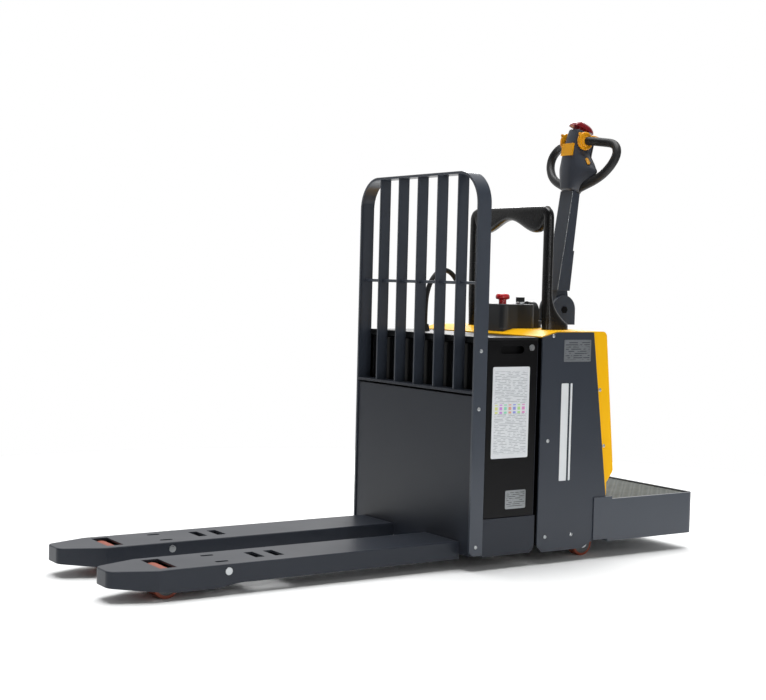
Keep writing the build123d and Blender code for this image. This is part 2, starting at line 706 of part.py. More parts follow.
with BuildPart() as piston_rod:
    with BuildSketch(Plane.XY.offset(piston_bottom)):
        with Locations((behind(cylinder_behind), 0)):
            Circle(cylinder_bore)
    extrude(amount=lift_lug_z - piston_bottom)
piston_rod.part.label = "piston_rod"

# ---------------------------------------------------------------- drive cover
cover_front_z = 735.0
cover_back_x = 544.0
cover_low_x, cover_low_z = 591.0, 288.0
toe_x, toe_z = 563.0, 251.0
cover_radius = 18.0
column_hole_radius = 44.0
socket_z = 742.0

cover_half = chassis_inner - cover_gap
with BuildPart() as drive_cover:
    with BuildSketch(Plane.XZ.offset(-cover_half)) as profile:
        with BuildLine():
            Polyline(
                (behind(panel_front) + cover_gap, cheek_bottom),
                (behind(panel_front) + cover_gap, cover_front_z),
                (behind(panel_shoulder), cover_top),
                (behind(cover_back_x), cover_top),
                (behind(cover_low_x), cover_low_z),
                (behind(toe_x), toe_z),
                (behind(toe_x), cheek_bottom),
                close=True,
            )
        make_face()
        fillet(profile.vertices().group_by(Axis.Y)[-1].sort_by(Axis.X)[-1:], cover_radius)
        fillet(profile.vertices().sort_by(Axis.X)[-1:], cover_radius)
    extrude(amount=2 * cover_half)
    offset(amount=-cover_wall, openings=drive_cover.faces().sort_by(Axis.Z)[:1])
    with BuildSketch(Plane.XZ.offset(-cover_half)):
        with BuildLine():
            Polyline(
                (behind(panel_front), cheek_bottom),
                (behind(panel_front), cover_front_z - cover_wall),
                (behind(cheek_front), cover_front_z - cover_wall),
                (behind(cheek_front), cheek_bottom),
                close=True,
            )
        make_face()
    extrude(amount=2 * cover_half, mode=Mode.SUBTRACT)
    with BuildSketch(Plane.XY.offset(cover_top - 2 * cover_wall)):
        with Locations((behind(column_behind), 0)):
            Circle(column_hole_radius)
    extrude(amount=4 * cover_wall, mode=Mode.SUBTRACT)
    with BuildSketch(Plane.XY.offset(socket_z - cover_wall)):
        with Locations((behind(cable_rear_behind), cable_y)):
            Circle(gland_radius)
    with BuildSketch(Plane.XY.offset(cable_end[2])):
        with Locations((behind(cable_rear_behind), cable_y)):
            Circle(gland_top_radius)
    loft()
drive_cover.part.label = "drive_cover"

# ---------------------------------------------------------------- drive unit, pump and controller
drive_wheel_radius, drive_wheel_width = 115.0, 75.0
drive_axle_radius = 22.0
drive_tyre = 20.0
flange_radius, flange_thick, flange_gap = 95.0, 12.0, 1.0
gear_inner, gear_outer = 41.0, 92.0
gear_half, gear_low_radius = 52.0, 55.0
motor_top = 520.0
motor_cap_radius, motor_cap_height = 40.0, 18.0

flange_top = deck_plate_z - flange_gap
with BuildPart() as drive_unit:
    with BuildSketch(Plane.XY.offset(flange_top)):
        with Locations((behind(drive_behind), 0)):
            Circle(flange_radius)
    extrude(amount=-flange_thick)
    with BuildSketch(Plane.XY.offset(flange_top)):
        with Locations((behind(drive_behind), 0)):
            Circle(motor_radius)
    extrude(amount=motor_top - flange_top)
    with BuildSketch(Plane.XY.offset(motor_top)):
        with Locations((behind(drive_behind), 0)):
            Circle(motor_cap_radius)
    extrude(amount=motor_cap_height)
    with BuildSketch(Plane.XZ.offset(-gear_outer)):
        with Locations((behind(drive_behind), drive_wheel_radius)):
            Circle(gear_low_radius)
        with Locations((behind(drive_behind), flange_top - flange_thick - 1)):
            Rectangle(2 * gear_half, 2)
        make_hull()
    extrude(amount=gear_outer - gear_inner)
    with BuildSketch(Plane.XZ.offset(-gear_inner)):
        with Locations((behind(drive_behind), drive_wheel_radius)):
            Circle(drive_axle_radius)
    extrude(amount=gear_inner + drive_wheel_width / 2 - hub_inset)
drive_unit.part.label = "drive_unit"

drive_wheel = make_roller(
    behind(drive_behind), 0, drive_wheel_radius, drive_wheel_width, drive_axle_radius,
    drive_tyre, 2 * hub_inset,
)
drive_wheel.part.label = "drive_wheel"

tank_front, tank_rear, tank_near, tank_far = 300.0, 520.0, 150.0, 310.0
tank_height = 150.0
pump_radius, pump_height = 55.0, 150.0
with BuildPart() as hydraulic_unit:
    with BuildSketch(Plane.XY.offset(deck_plate_z + deck_plate_thick)):
        with Locations((behind((tank_front + tank_rear) / 2), (tank_near + tank_far) / 2)):
            RectangleRounded(tank_rear - tank_front, tank_far - tank_near, cover_radius)
    extrude(amount=tank_height)
    with BuildSketch(Plane.XY.offset(deck_plate_z + deck_plate_thick + tank_height)):
        with Locations((behind(tank_front + pump_radius + cover_wall), (tank_near + tank_far) / 2)):
            Circle(pump_radius)
    extrude(amount=pump_height)
hydraulic_unit.part.label = "hydraulic_unit"

controller_length, controller_width, controller_height = 200.0, 130.0, 70.0
fin_count, fin_height, fin_thick = 9, 25.0, 4.0
controller_y = -(tank_near + tank_far) / 2
with BuildPart() as motor_controller:
    with BuildSketch(Plane.XY.offset(deck_plate_z + deck_plate_thick)):
        with Locations((behind((tank_front + tank_rear) / 2), controller_y)):
            Rectangle(controller_length, controller_width)
    extrude(amount=controller_height)
    with BuildSketch(Plane.XY.offset(deck_plate_z + deck_plate_thick + controller_height)):
        with Locations((behind((tank_front + tank_rear) / 2), controller_y)):
            with GridLocations(controller_length / fin_count, 0, fin_count, 1):
                Rectangle(fin_thick, controller_width)
    extrude(amount=fin_height)
motor_controller.part.label = "motor_controller"

# ---------------------------------------------------------------- stabiliser casters
caster_wheel_radius, caster_wheel_width = 40.0, 32.0
caster_trail = 30.0
caster_axle_radius, caster_tyre = 6.0, 9.0
yoke_gap, yoke_thick = 2.0, 4.0
yoke_crown_half = 26.0
yoke_eye_radius = 13.0
crown_gap = 1.0

crown_top = caster_plate_z - crown_gap
crown_bottom = 2 * caster_wheel_radius + crown_gap


def make_caster_yoke(side):
    """A caster's swivel yoke with its stem and the wheel's axle bolt."""
    stem_x, axle_x, y = behind(caster_behind), behind(caster_behind + caster_trail), side * caster_y
    half = caster_wheel_width / 2 + yoke_gap
    with BuildPart() as yoke:
        with BuildSketch(Plane.XZ.offset(-y)):
            with Locations((stem_x + caster_trail / 2, (crown_bottom + crown_top) / 2)):
                Rectangle(2 * yoke_crown_half, crown_top - crown_bottom)
            with Locations((axle_x, caster_wheel_radius)):
                Circle(yoke_eye_radius)
            make_hull()
        extrude(amount=half + yoke_thick, both=True)
        with BuildSketch(Plane.XZ.offset(-y)):
            with Locations((axle_x, crown_bottom / 2)):
                Rectangle(4 * caster_wheel_radius, crown_bottom)
        extrude(amount=half, both=True, mode=Mode.SUBTRACT)
        with BuildSketch(Plane.XY.offset(crown_bottom)):
            with Locations((stem_x, y)):
                Circle(caster_stem_radius)
        extrude(amount=caster_plate_z + caster_plate_thick - crown_bottom + crown_gap)
        with BuildSketch(Plane.XZ.offset(-y)):
            with Locations((axle_x, caster_wheel_radius)):
                Circle(caster_axle_radius)
        extrude(amount=half + yoke_thick + yoke_gap, both=True)
    return yoke


def make_caster_wheel(side):
    """A caster's small roller."""
    return make_roller(
        behind(caster_behind + caster_trail), side * caster_y, caster_wheel_radius,
        caster_wheel_width, caster_axle_radius, caster_tyre, hub_inset / 2,
    )


caster_yoke_left = make_caster_yoke(LEFT)
caster_yoke_left.part.label = "caster_yoke_left"
caster_yoke_right = make_caster_yoke(RIGHT)
caster_yoke_right.part.label = "caster_yoke_right"
caster_wheel_left = make_caster_wheel(LEFT)
caster_wheel_left.part.label = "caster_wheel_left"
caster_wheel_right = make_caster_wheel(RIGHT)
caster_wheel_right.part.label = "caster_wheel_right"

# ---------------------------------------------------------------- platform
platform_front, platform_rear = 566.0, body_length
platform_bottom, platform_top = 56.0, 196.0
platform_sheet = 5.0
platform_corner = 22.0
rim_width, mat_recess, mat_thick, mat_rib = 11.0, 9.0, 4.0, 2.0
bracket_front, bracket_rear, bracket_bottom, bracket_top = 503.0, 582.0, 64.0, 205.0
bracket_thick = 4.0
platform_half = platform_width / 2

with BuildPart() as platform_deck:
    with BuildSketch(Plane.XY.offset(platform_bottom)) as deck:
        with Locations((behind((platform_front + platform_rear) / 2), 0)):
            Rectangle(platform_rear - platform_front, platform_width)
        fillet(deck.vertices().group_by(Axis.X)[-1], platform_corner)
    extrude(amount=platform_top - platform_bottom)
    with BuildSketch(Plane.XY.offset(platform_bottom)) as under:
        with Locations((behind((platform_front + platform_rear) / 2), 0)):
            Rectangle(
                platform_rear - platform_front - 2 * platform_sheet,
                platform_width - 2 * platform_sheet,
            )
        fillet(under.vertices().group_by(Axis.X)[-1], platform_corner - platform_sheet)
    extrude(
        amount=platform_top - platform_bottom - mat_recess - platform_sheet, mode=Mode.SUBTRACT
    )
    with BuildSketch(Plane.XY.offset(platform_top)) as recess:
        with Locations((behind((platform_front + platform_rear - rim_width) / 2), 0)):
            Rectangle(platform_rear - platform_front - rim_width, platform_width - 2 * rim_width)
        fillet(recess.vertices().group_by(Axis.X)[-1], platform_corner - rim_width)
    extrude(amount=-mat_recess, mode=Mode.SUBTRACT)
    for side in (LEFT, RIGHT):
        with BuildSketch(wall_plane(side, platform_half, bracket_thick)):
            with Locations(
                (behind((bracket_front + bracket_rear) / 2), (bracket_bottom + bracket_top) / 2)
            ):
                Rectangle(bracket_rear - bracket_front, bracket_top - bracket_bottom)
        extrude(amount=bracket_thick)
platform_deck.part.label = "platform_deck"

mat_front, mat_rear = platform_front + 1, platform_rear - rim_width - seat_gap
with BuildPart() as platform_mat:
    with BuildSketch(Plane.XY.offset(platform_top - mat_recess)) as mat:
        with Locations((behind((mat_front + mat_rear) / 2), 0)):
            Rectangle(mat_rear - mat_front, platform_width - 2 * rim_width - 2 * seat_gap)
        fillet(mat.vertices().group_by(Axis.X)[-1], platform_corner - rim_width)
    extrude(amount=mat_thick)
    with BuildSketch(Plane.XY.offset(platform_top - mat_recess + mat_thick)):
        with Locations((behind((mat_front + mat_rear) / 2), 0)):
            with GridLocations(0, 2 * platform_corner, 1, 15):
                Rectangle(mat_rear - mat_front - platform_corner, platform_corner)
    extrude(amount=mat_rib)
platform_mat.part.label = "platform_mat"

# ---------------------------------------------------------------- grab hoop, console and plates
hoop_front = 380.0
hoop_depth, hoop_foot_depth = 27.0, 104.0
hoop_foot_rise, hoop_ankle_rise = 36.0, 130.0
hoop_top = 1160.0
hoop_outer, hoop_inner = 219.0, 184.0
hoop_outer_radius, hoop_inner_radius = 46.0, 16.0
hoop_bar_mid, hoop_bar_end = 46.0, 88.0     # depth of the bar at its middle and beside the legs
hoop_bar_end_y = 138.0

with BuildPart() as grab_hoop:
    with BuildSketch(Plane.YZ.offset(behind(hoop_front))) as outer_hoop:
        with Locations((0, (cover_top + hoop_top) / 2)):
            Rectangle(2 * hoop_outer, hoop_top - cover_top)
        fillet(outer_hoop.vertices().group_by(Axis.Y)[-1], hoop_outer_radius)
    extrude(amount=hoop_foot_depth)
    with BuildSketch(Plane.YZ.offset(behind(hoop_front))) as inner_hoop:
        with BuildLine():
            arch = ThreePointArc(
                (-hoop_bar_end_y, hoop_top - hoop_bar_end),
                (0, hoop_top - hoop_bar_mid),
                (hoop_bar_end_y, hoop_top - hoop_bar_end),
            )
            Polyline(
                arch @ 1,
                (hoop_inner, hoop_top - hoop_bar_end),
                (hoop_inner, cover_top),
                (-hoop_inner, cover_top),
                (-hoop_inner, hoop_top - hoop_bar_end),
                arch @ 0,
            )
        make_face()
        corners = inner_hoop.vertices().filter_by(lambda v: v.Y > hoop_top - hoop_bar_end - 1)
        fillet(corners.sort_by(Axis.X)[:1] + corners.sort_by(Axis.X)[-1:], hoop_inner_radius)
    extrude(amount=hoop_foot_depth, mode=Mode.SUBTRACT)
    with BuildSketch(Plane.XZ.offset(-hoop_outer)):
        with BuildLine():
            foot_rear = behind(hoop_front + hoop_foot_depth)
            leg_rear = behind(hoop_front + hoop_depth)
            Polyline(
                (leg_rear, cover_top + hoop_ankle_rise), (leg_rear, hoop_top),
                (behind(hoop_front), hoop_top), (behind(hoop_front), cover_top),
                (foot_rear, cover_top), (foot_rear, cover_top + hoop_foot_rise / 2),
            )
            TangentArc(
                (leg_rear, cover_top + hoop_ankle_rise),
                (foot_rear, cover_top + hoop_foot_rise / 2), tangent=(0, -1),
            )
        make_face()
    extrude(amount=2 * hoop_outer, mode=Mode.INTERSECT)
grab_hoop.part.label = "grab_hoop"

console_front, console_rear = 290.0, 432.0
console_near, console_far = -105.0, 25.0
console_top = 832.0
console_radius, console_wall = 22.0, 3.0
estop_behind, key_behind, controls_y = 322.0, 398.0, -58.0
estop_stem_radius, estop_head_radius, estop_head_height = 13.0, 24.0, 20.0
estop_stem_show = 16.0
key_barrel_radius, key_barrel_height = 15.0, 6.0
key_stem_radius, key_bow_length, key_bow_thick, key_bow_height = 4.0, 34.0, 9.0, 16.0

with BuildPart() as console_box:
    with BuildSketch(Plane.XY.offset(cover_top)):
        with Locations((behind((console_front + console_rear) / 2), (console_near + console_far) / 2)):
            RectangleRounded(console_rear - console_front, console_far - console_near, console_radius)
    extrude(amount=console_top - cover_top)
    fillet(console_box.faces().sort_by(Axis.Z)[-1].outer_wire().edges(), console_wall)
    with BuildSketch(Plane.XY.offset(cover_top)):
        with Locations((behind((console_front + console_rear) / 2), (console_near + console_far) / 2)):
            RectangleRounded(
                console_rear - console_front - 2 * console_wall,
                console_far - console_near - 2 * console_wall, console_radius - console_wall,
            )
    extrude(amount=console_top - cover_top - console_wall, mode=Mode.SUBTRACT)
    with BuildSketch(Plane.XY.offset(console_top)):
        with Locations((behind(estop_behind), controls_y)):
            Circle(estop_stem_radius + 2 * running_fit)
        with Locations((behind(key_behind), controls_y)):
            Circle(key_stem_radius + 2 * running_fit)
    extrude(amount=-2 * console_wall, mode=Mode.SUBTRACT)
    with BuildSketch(Plane.XZ.offset(-console_far)):
        with BuildLine():
            Polyline(
                (behind(console_front), cover_top),
                (behind(panel_shoulder), cover_top),
                (behind(console_front), cover_top - (cover_top - cover_front_z)
                 * (panel_shoulder - console_front) / (panel_shoulder - panel_front)),
                close=True,
            )
        make_face()
    extrude(amount=console_far - console_near)
console_box.part.label = "console_box"

with BuildPart() as estop_button:
    with BuildSketch(Plane.XY.offset(console_top - 4 * console_wall)):
        with Locations((behind(estop_behind), controls_y)):
            Circle(estop_stem_radius)
    extrude(amount=estop_stem_show + 4 * console_wall)
    with BuildSketch(Plane.XY.offset(console_top + estop_stem_show)):
        with Locations((behind(estop_behind), controls_y)):
            Circle(estop_head_radius)
    extrude(amount=estop_head_height)
    fillet(estop_button.edges().group_by(Axis.Z)[-1], estop_head_height / 2)
estop_button.part.label = "estop_button"

with BuildPart() as key_switch:
    with BuildSketch(Plane.XY.offset(console_top)):
        with Locations((behind(key_behind), controls_y)):
            Circle(key_barrel_radius)
            Circle(key_stem_radius + running_fit, mode=Mode.SUBTRACT)
    extrude(amount=key_barrel_height)
key_switch.part.label = "key_switch"

with BuildPart() as ignition_key:
    with BuildSketch(Plane.XY.offset(console_top - 2 * console_wall)):
        with Locations((behind(key_behind), controls_y)):
            Circle(key_stem_radius)
    extrude(amount=key_barrel_height + 2 * console_wall + 1)
    with BuildSketch(Plane.XY.offset(console_top + key_barrel_height + 1)):
        with Locations((behind(key_behind), controls_y)):
            RectangleRounded(key_bow_length, key_bow_thick, key_bow_thick / 3)
    extrude(amount=key_bow_height)
ignition_key.part.label = "ignition_key"

gauge_front, gauge_rear, gauge_half, gauge_y = 433.0, 459.0, 34.0, -52.0
gauge_top = 842.0
with BuildPart() as battery_gauge:
    with BuildSketch(Plane.YZ.offset(behind(gauge_front))):
        with Locations((gauge_y, gauge_top - gauge_half)):
            Circle(gauge_half)
        with Locations((gauge_y, cover_top + gauge_half / 4)):
            Rectangle(2 * gauge_half, gauge_half / 2)
        make_hull()
    extrude(amount=gauge_rear - gauge_front)
battery_gauge.part.label = "battery_gauge"

data_plate_behind, data_plate_z = 414.0, 689.0
data_plate_length, data_plate_height, data_plate_thick = 114.0, 71.0, 1.0
rivet_radius, rivet_height, rivet_inset = 3.0, 1.2, 6.0
with BuildPart() as data_plate:
    with BuildSketch(Plane.XZ.offset(panel_half)):
        with Locations((behind(data_plate_behind), data_plate_z)):
            RectangleRounded(data_plate_length, data_plate_height, rivet_radius)
    extrude(amount=data_plate_thick)
    with BuildSketch(Plane.XZ.offset(panel_half + data_plate_thick)):
        with Locations((behind(data_plate_behind), data_plate_z)):
            with GridLocations(
                data_plate_length - 2 * rivet_inset, data_plate_height - 2 * rivet_inset, 2, 2
            ):
                Circle(rivet_radius)
    extrude(amount=rivet_height)
data_plate.part.label = "data_plate"

screw_radius, screw_head = 6.0, 3.0
panel_screw_places = [(311.5, 737.0), (300.0, 90.0), (300.0, 400.0), (410.0, 90.0)]
cover_screw_places = [(521.0, 559.0), (546.0, 373.0)]
frame_screw_places = [(22.0, 510.0), (24.0, 78.0), (25.0, 690.0)]


with BuildPart() as panel_screws:
    for places, face in ((panel_screw_places, panel_half), (cover_screw_places, cover_half)):
        for outward in (LEFT, RIGHT):
            with BuildSketch(Plane.XZ.offset(-outward * face)):
                with Locations(*[(behind(x), z) for x, z in places]):
                    Circle(screw_radius)
            extrude(amount=-outward * screw_head)
panel_screws.part.label = "panel_screws"

with BuildPart() as frame_screws:
    for outward in (LEFT, RIGHT):
        with BuildSketch(Plane.XZ.offset(-outward * frame_width / 2)):
            with Locations(*[(behind(x), z) for x, z in frame_screw_places]):
                Circle(screw_radius)
        extrude(amount=-outward * screw_head)
frame_screws.part.label = "frame_screws"

# ---------------------------------------------------------------- tiller
tiller_pivot_behind, tiller_pivot_z = 611.0, 814.0
tiller_pin_radius, tiller_pin_cap, tiller_cap_thick = 10.0, 13.0, 4.0
clevis_outer, clevis_inner = 38.0, 27.0
clevis_radius, clevis_bottom = 50.0, 762.0
clevis_floor = 12.0
head_pad_radius = 40.0
column_bottom = 640.0
shaft_half = 25.0
eye_radius = 34.0
sleeve_half = 33.0

tiller_x = behind(tiller_pivot_behind)
with BuildPart() as steering_head:
    with BuildSketch(Plane.XY.offset(column_bottom)):
        with Locations((behind(column_behind), 0)):
            Circle(column_radius)
    extrude(amount=clevis_bottom - column_bottom)
    with BuildSketch(Plane.XZ.offset(-clevis_outer)):
        with Locations((tiller_x, tiller_pivot_z)):
            Circle(clevis_radius)
        with Locations((tiller_x, clevis_bottom + clevis_floor / 2)):
            Rectangle(2 * clevis_radius, clevis_floor)
        make_hull()
    extrude(amount=2 * clevis_outer)
    with BuildSketch(Plane.XY.offset(clevis_bottom)):
        with Locations((behind(column_behind), 0)):
            Circle(head_pad_radius)
        with Locations((behind((column_behind + tiller_pivot_behind) / 2), 0)):
            Rectangle(tiller_pivot_behind - column_behind, 2 * clevis_outer)
    extrude(amount=clevis_floor)
    with BuildSketch(Plane.XZ.offset(-clevis_inner)):
        with Locations((tiller_x, tiller_pivot_z + clevis_floor / 2)):
            Rectangle(4 * clevis_radius, 2 * (tiller_pivot_z - clevis_bottom) - clevis_floor)
    extrude(amount=2 * clevis_inner, mode=Mode.SUBTRACT)
    with BuildSketch(Plane.XZ.offset(-clevis_outer)):
        with Locations((tiller_x, tiller_pivot_z)):
            Circle(tiller_pin_radius + running_fit)
    extrude(amount=2 * clevis_outer, mode=Mode.SUBTRACT)
steering_head.part.label = "steering_head"

with BuildPart() as tiller_pin:
    with BuildSketch(Plane.XZ.offset(-clevis_outer)):
        with Locations((tiller_x, tiller_pivot_z)):
            Circle(tiller_pin_radius)
    extrude(amount=2 * clevis_outer)
    for end in (clevis_outer, -clevis_outer - tiller_cap_thick):
        with BuildSketch(Plane.XZ.offset(end)):
            with Locations((tiller_x, tiller_pivot_z)):
                RegularPolygon(tiller_pin_cap, 6)
        extrude(amount=tiller_cap_thick)
tiller_pin.part.label = "tiller_pin"

sleeve_bottom, sleeve_step, step_depth = 880.0, 1020.0, 5.0
sleeve_front, sleeve_depth = 583.0, 55.0        # front edge and depth at the sleeve's foot
step_behind = 653.0                             # rear edge at the step
shaft_top_front, shaft_top_rear = -22.8, 9.9    # depths on the underside of the head

spring_wire, spring_coil_radius, spring_pitch, spring_turns = 2.0, 14.5, 4.6, 3.0
spring_pocket_radius, spring_pocket_y = 20.0, 8.0

# The head's own axes: Y stays across the truck, "up" runs up the head and "back" towards
# the operator; in_head() gives the place of a point that is measured along them.
head_tilt = 20.0
head_origin = Vector(behind(671.0), 0, 1250.0)
head_up = Vector(sin(radians(head_tilt)), 0, cos(radians(head_tilt)))
head_back = Vector(cos(radians(head_tilt)), 0, -sin(radians(head_tilt)))


def in_head(y, up, back):
    """Place of a point y to the right, this far up the head and this far back."""
    return head_origin + Vector(0, y, 0) + head_up * up + head_back * back


class HeadSection(NamedTuple):
    """Half widths and depths (forwards positive) of the head at one height above its origin."""
    up: float
    front: tuple
    side: tuple
    rear: tuple


head_bottom, head_top = -30.0, 183.0
head_sections = [
    HeadSection(up=head_bottom, front=(30, 38), side=(34, 10), rear=(30, -20)),
    HeadSection(up=5.0, front=(33, 50), side=(75, -2), rear=(40, -20)),
    HeadSection(up=50.0, front=(34, 63), side=(112, -6), rear=(60, -18)),
    HeadSection(up=110.0, front=(34, 76), side=(44, 20), rear=(36, -16)),
    HeadSection(up=155.0, front=(31, 80), side=(40, 20), rear=(34, -12)),
    HeadSection(up=head_top, front=(27, 82), side=(38, 20), rear=(32, -6)),
]
head_side_plane = Plane(origin=head_origin, x_dir=head_back, z_dir=(0, -1, 0))
handle_plane = Plane(origin=in_head(0, 0, 2.0), x_dir=(0, 1, 0), z_dir=head_back)
handle_radius, handle_bend = 15.5, 38.0
handle_corners = [(30.0, 158.0), (128.0, 150.0), (172.0, 96.0), (134.0, 28.0), (44.0, -8.5)]
cavity_half, cavity_depth, cavity_bottom, cavity_top = 22.0, 40.0, 0.0, 177.0

throttle_up, throttle_back = 145.0, -48.0
throttle_radius, throttle_inner, throttle_thick = 32.0, 40.5, 13.0
throttle_shaft_radius, throttle_clear = 5.0, 1.5
thumb_tabs = [(158.0, -79.0, 7.0), (196.0, 6.0, 8.0)]      # up, back and radius of each tab's end
tab_root_up, tab_root_radius = 172.0, 12.0

button_front, button_rear, button_half = -88.0, 2.0, 26.0
button_underside, button_edge, button_crown = 192.0, 195.0, 217.0
neck_front, neck_rear, neck_half, neck_bottom = -72.0, -14.0, 18.0, 165.0
button_travel = 8.0
button_clear = 1.0

pad_up, pad_back, pad_half_width, pad_height, pad_slope = 104.5, -74.5, 29.0, 43.0, 9.6
pad_thick, pad_proud, pad_travel = 6.0, 3.0, 1.5
wing_button_place = (66.0, 77.0, -26.0)
wing_button_out = (0.744, 0.366, -0.558)                   # square to the front of the wing
wing_button_along = (-0.584, 0.763, -0.277)                # along the wing's upper edge
wing_button_length, wing_button_width = 26.0, 11.0
wing_button_deep, wing_button_proud, wing_button_travel = 5.0, 3.0, 1.5

with BuildPart() as tiller_spring:
    with BuildLine():
        coil = Helix(
            pitch=spring_pitch, height=spring_pitch * spring_turns, radius=spring_coil_radius,
            center=(tiller_x, clevis_inner - spring_wire, tiller_pivot_z), direction=(0, -1, 0),
        )
    with BuildSketch(Plane(origin=coil @ 0, z_dir=coil % 0)):
        Circle(spring_wire)
    sweep(is_frenet=True)
tiller_spring.part.label = "tiller_spring"

with BuildPart() as tiller_shaft:
    with BuildSketch(Plane.XZ.offset(-shaft_half)):
        with Locations((tiller_x, tiller_pivot_z)):
            Circle(eye_radius)
        with Locations((behind(sleeve_front + sleeve_depth / 2), sleeve_bottom)):
            Rectangle(sleeve_depth - 2 * step_depth, 2 * step_depth)
        make_hull()
    extrude(amount=2 * shaft_half)
    with BuildSketch(Plane.XZ.offset(-sleeve_half)):
        with BuildLine():
            top_front = in_head(0, head_bottom, shaft_top_front)
            top_rear = in_head(0, head_bottom, shaft_top_rear)
            Polyline(
                (behind(sleeve_front), sleeve_bottom), (top_front.X, top_front.Z),
                (top_rear.X, top_rear.Z), (behind(step_behind - step_depth), sleeve_step),
                (behind(step_behind), sleeve_step),
                (behind(sleeve_front + sleeve_depth), sleeve_bottom), close=True,
            )
        make_face()
    extrude(amount=2 * sleeve_half)
    with BuildSketch(Plane.XZ.offset(-shaft_half)):
        with Locations((tiller_x, tiller_pivot_z)):
            Circle(tiller_pin_radius + running_fit)
    extrude(amount=2 * shaft_half, mode=Mode.SUBTRACT)
    with BuildSketch(Plane.XZ.offset(-shaft_half)):
        with Locations((tiller_x, tiller_pivot_z)):
            Circle(spring_pocket_radius)
    extrude(amount=shaft_half - spring_pocket_y, mode=Mode.SUBTRACT)
tiller_shaft.part.label = "tiller_shaft"

with BuildPart() as tiller_handles:
    for side in (LEFT, RIGHT):
        with BuildLine(handle_plane):
            loop = FilletPolyline(*[(side * y, up) for y, up in handle_corners], radius=handle_bend)
        with BuildSketch(Plane(origin=loop @ 0, z_dir=loop % 0)):
            Circle(handle_radius)
        sweep()
tiller_handles.part.label = "tiller_handles"


def wing_plane(side):
    """Plane of a wing button, square to the front of the wing that carries it."""
    y, up, back = wing_button_place
    out_y, out_up, out_back = wing_button_out
    along_y, along_up, along_back = wing_button_along
    return Plane(
        origin=in_head(side * y, up, back),
        x_dir=in_head(side * along_y, along_up, along_back) - head_origin,
        z_dir=in_head(side * out_y, out_up, out_back) - head_origin,
    )


pad_plane = Plane(
    origin=in_head(0, pad_up, pad_back), x_dir=(0, 1, 0),
    z_dir=in_head(0, -sin(radians(pad_slope)), -cos(radians(pad_slope))) - head_origin,
)


def make_head_shell(keep):
    """Half of the tiller head, on one side of its parting plane, bored for the handles."""
    with BuildPart() as shell:
        for section in head_sections:
            origin = in_head(0, section.up, 0)
            half = [section.front, section.side, section.rear]
            with BuildSketch(Plane(origin=origin, x_dir=(0, 1, 0), z_dir=head_up)):
                with BuildLine():
                    Polyline(*half, *[(-y, depth) for y, depth in reversed(half)], close=True)
                make_face()
        loft(ruled=True)
        split(bisect_by=Plane(origin=head_origin, x_dir=(0, 1, 0), z_dir=head_back), keep=keep)
        add(tiller_handles.part, mode=Mode.SUBTRACT)
    return shell


head_shell = make_head_shell(Keep.BOTTOM)
with BuildPart() as tiller_head:
    add(head_shell.part)
    with BuildSketch(head_side_plane.offset(-cavity_half)):
        with Locations((-cavity_depth / 2, (cavity_bottom + cavity_top) / 2)):
            Rectangle(cavity_depth, cavity_top - cavity_bottom)
    extrude(amount=2 * cavity_half, mode=Mode.SUBTRACT)
    with BuildSketch(head_side_plane.offset(-neck_half - button_clear)):
        pocket_bottom = neck_bottom - button_travel - button_clear
        with Locations(((neck_front + neck_rear) / 2, (pocket_bottom + button_underside) / 2)):
            Rectangle(neck_rear - neck_front + 2 * button_clear, button_underside - pocket_bottom)
    extrude(amount=2 * (neck_half + button_clear), mode=Mode.SUBTRACT)
    with BuildSketch(head_side_plane):
        with Locations((throttle_back, throttle_up)):
            Circle(throttle_shaft_radius + running_fit)
    extrude(amount=2 * throttle_radius, both=True, mode=Mode.SUBTRACT)
    for side in (LEFT, RIGHT):
        face_y = side * (throttle_inner - seat_gap)
        with BuildSketch(head_side_plane.offset(-face_y)):
            with Locations((throttle_back, throttle_up)):
                Circle(throttle_radius + throttle_clear)
        extrude(amount=-side * throttle_radius, mode=Mode.SUBTRACT)
        with BuildSketch(wing_plane(side).offset(-wing_button_deep - 2 * wing_button_travel)):
            SlotOverall(wing_button_length + 2 * seat_gap, wing_button_width + 2 * seat_gap)
        extrude(amount=3 * wing_button_deep, mode=Mode.SUBTRACT)
    with BuildSketch(pad_plane.offset(pad_proud - pad_thick - 2 * pad_travel)):
        Rectangle(2 * (pad_half_width + seat_gap), pad_height + 2 * seat_gap)
    extrude(amount=2 * pad_thick, mode=Mode.SUBTRACT)
tiller_head.part.label = "tiller_head"

tiller_head_rear = make_head_shell(Keep.TOP)
tiller_head_rear.part.label = "tiller_head_rear"

with BuildPart() as belly_button:
    with BuildSketch(head_side_plane.offset(-button_half)):
        with BuildLine():
            crown = ThreePointArc(
                (button_front, button_edge), ((button_front + button_rear) / 2, button_crown),
                (button_rear, button_edge),
            )
            Polyline(
                crown @ 1, (button_rear, button_underside), (button_front, button_underside),
                crown @ 0,
            )
        make_face()
    extrude(amount=2 * button_half)
    with BuildSketch(head_side_plane.offset(-neck_half)):
        with Locations(((neck_front + neck_rear) / 2, (neck_bottom + button_underside) / 2)):
            Rectangle(neck_rear - neck_front, button_underside - neck_bottom)
    extrude(amount=2 * neck_half)
belly_button.part.label = "belly_button"

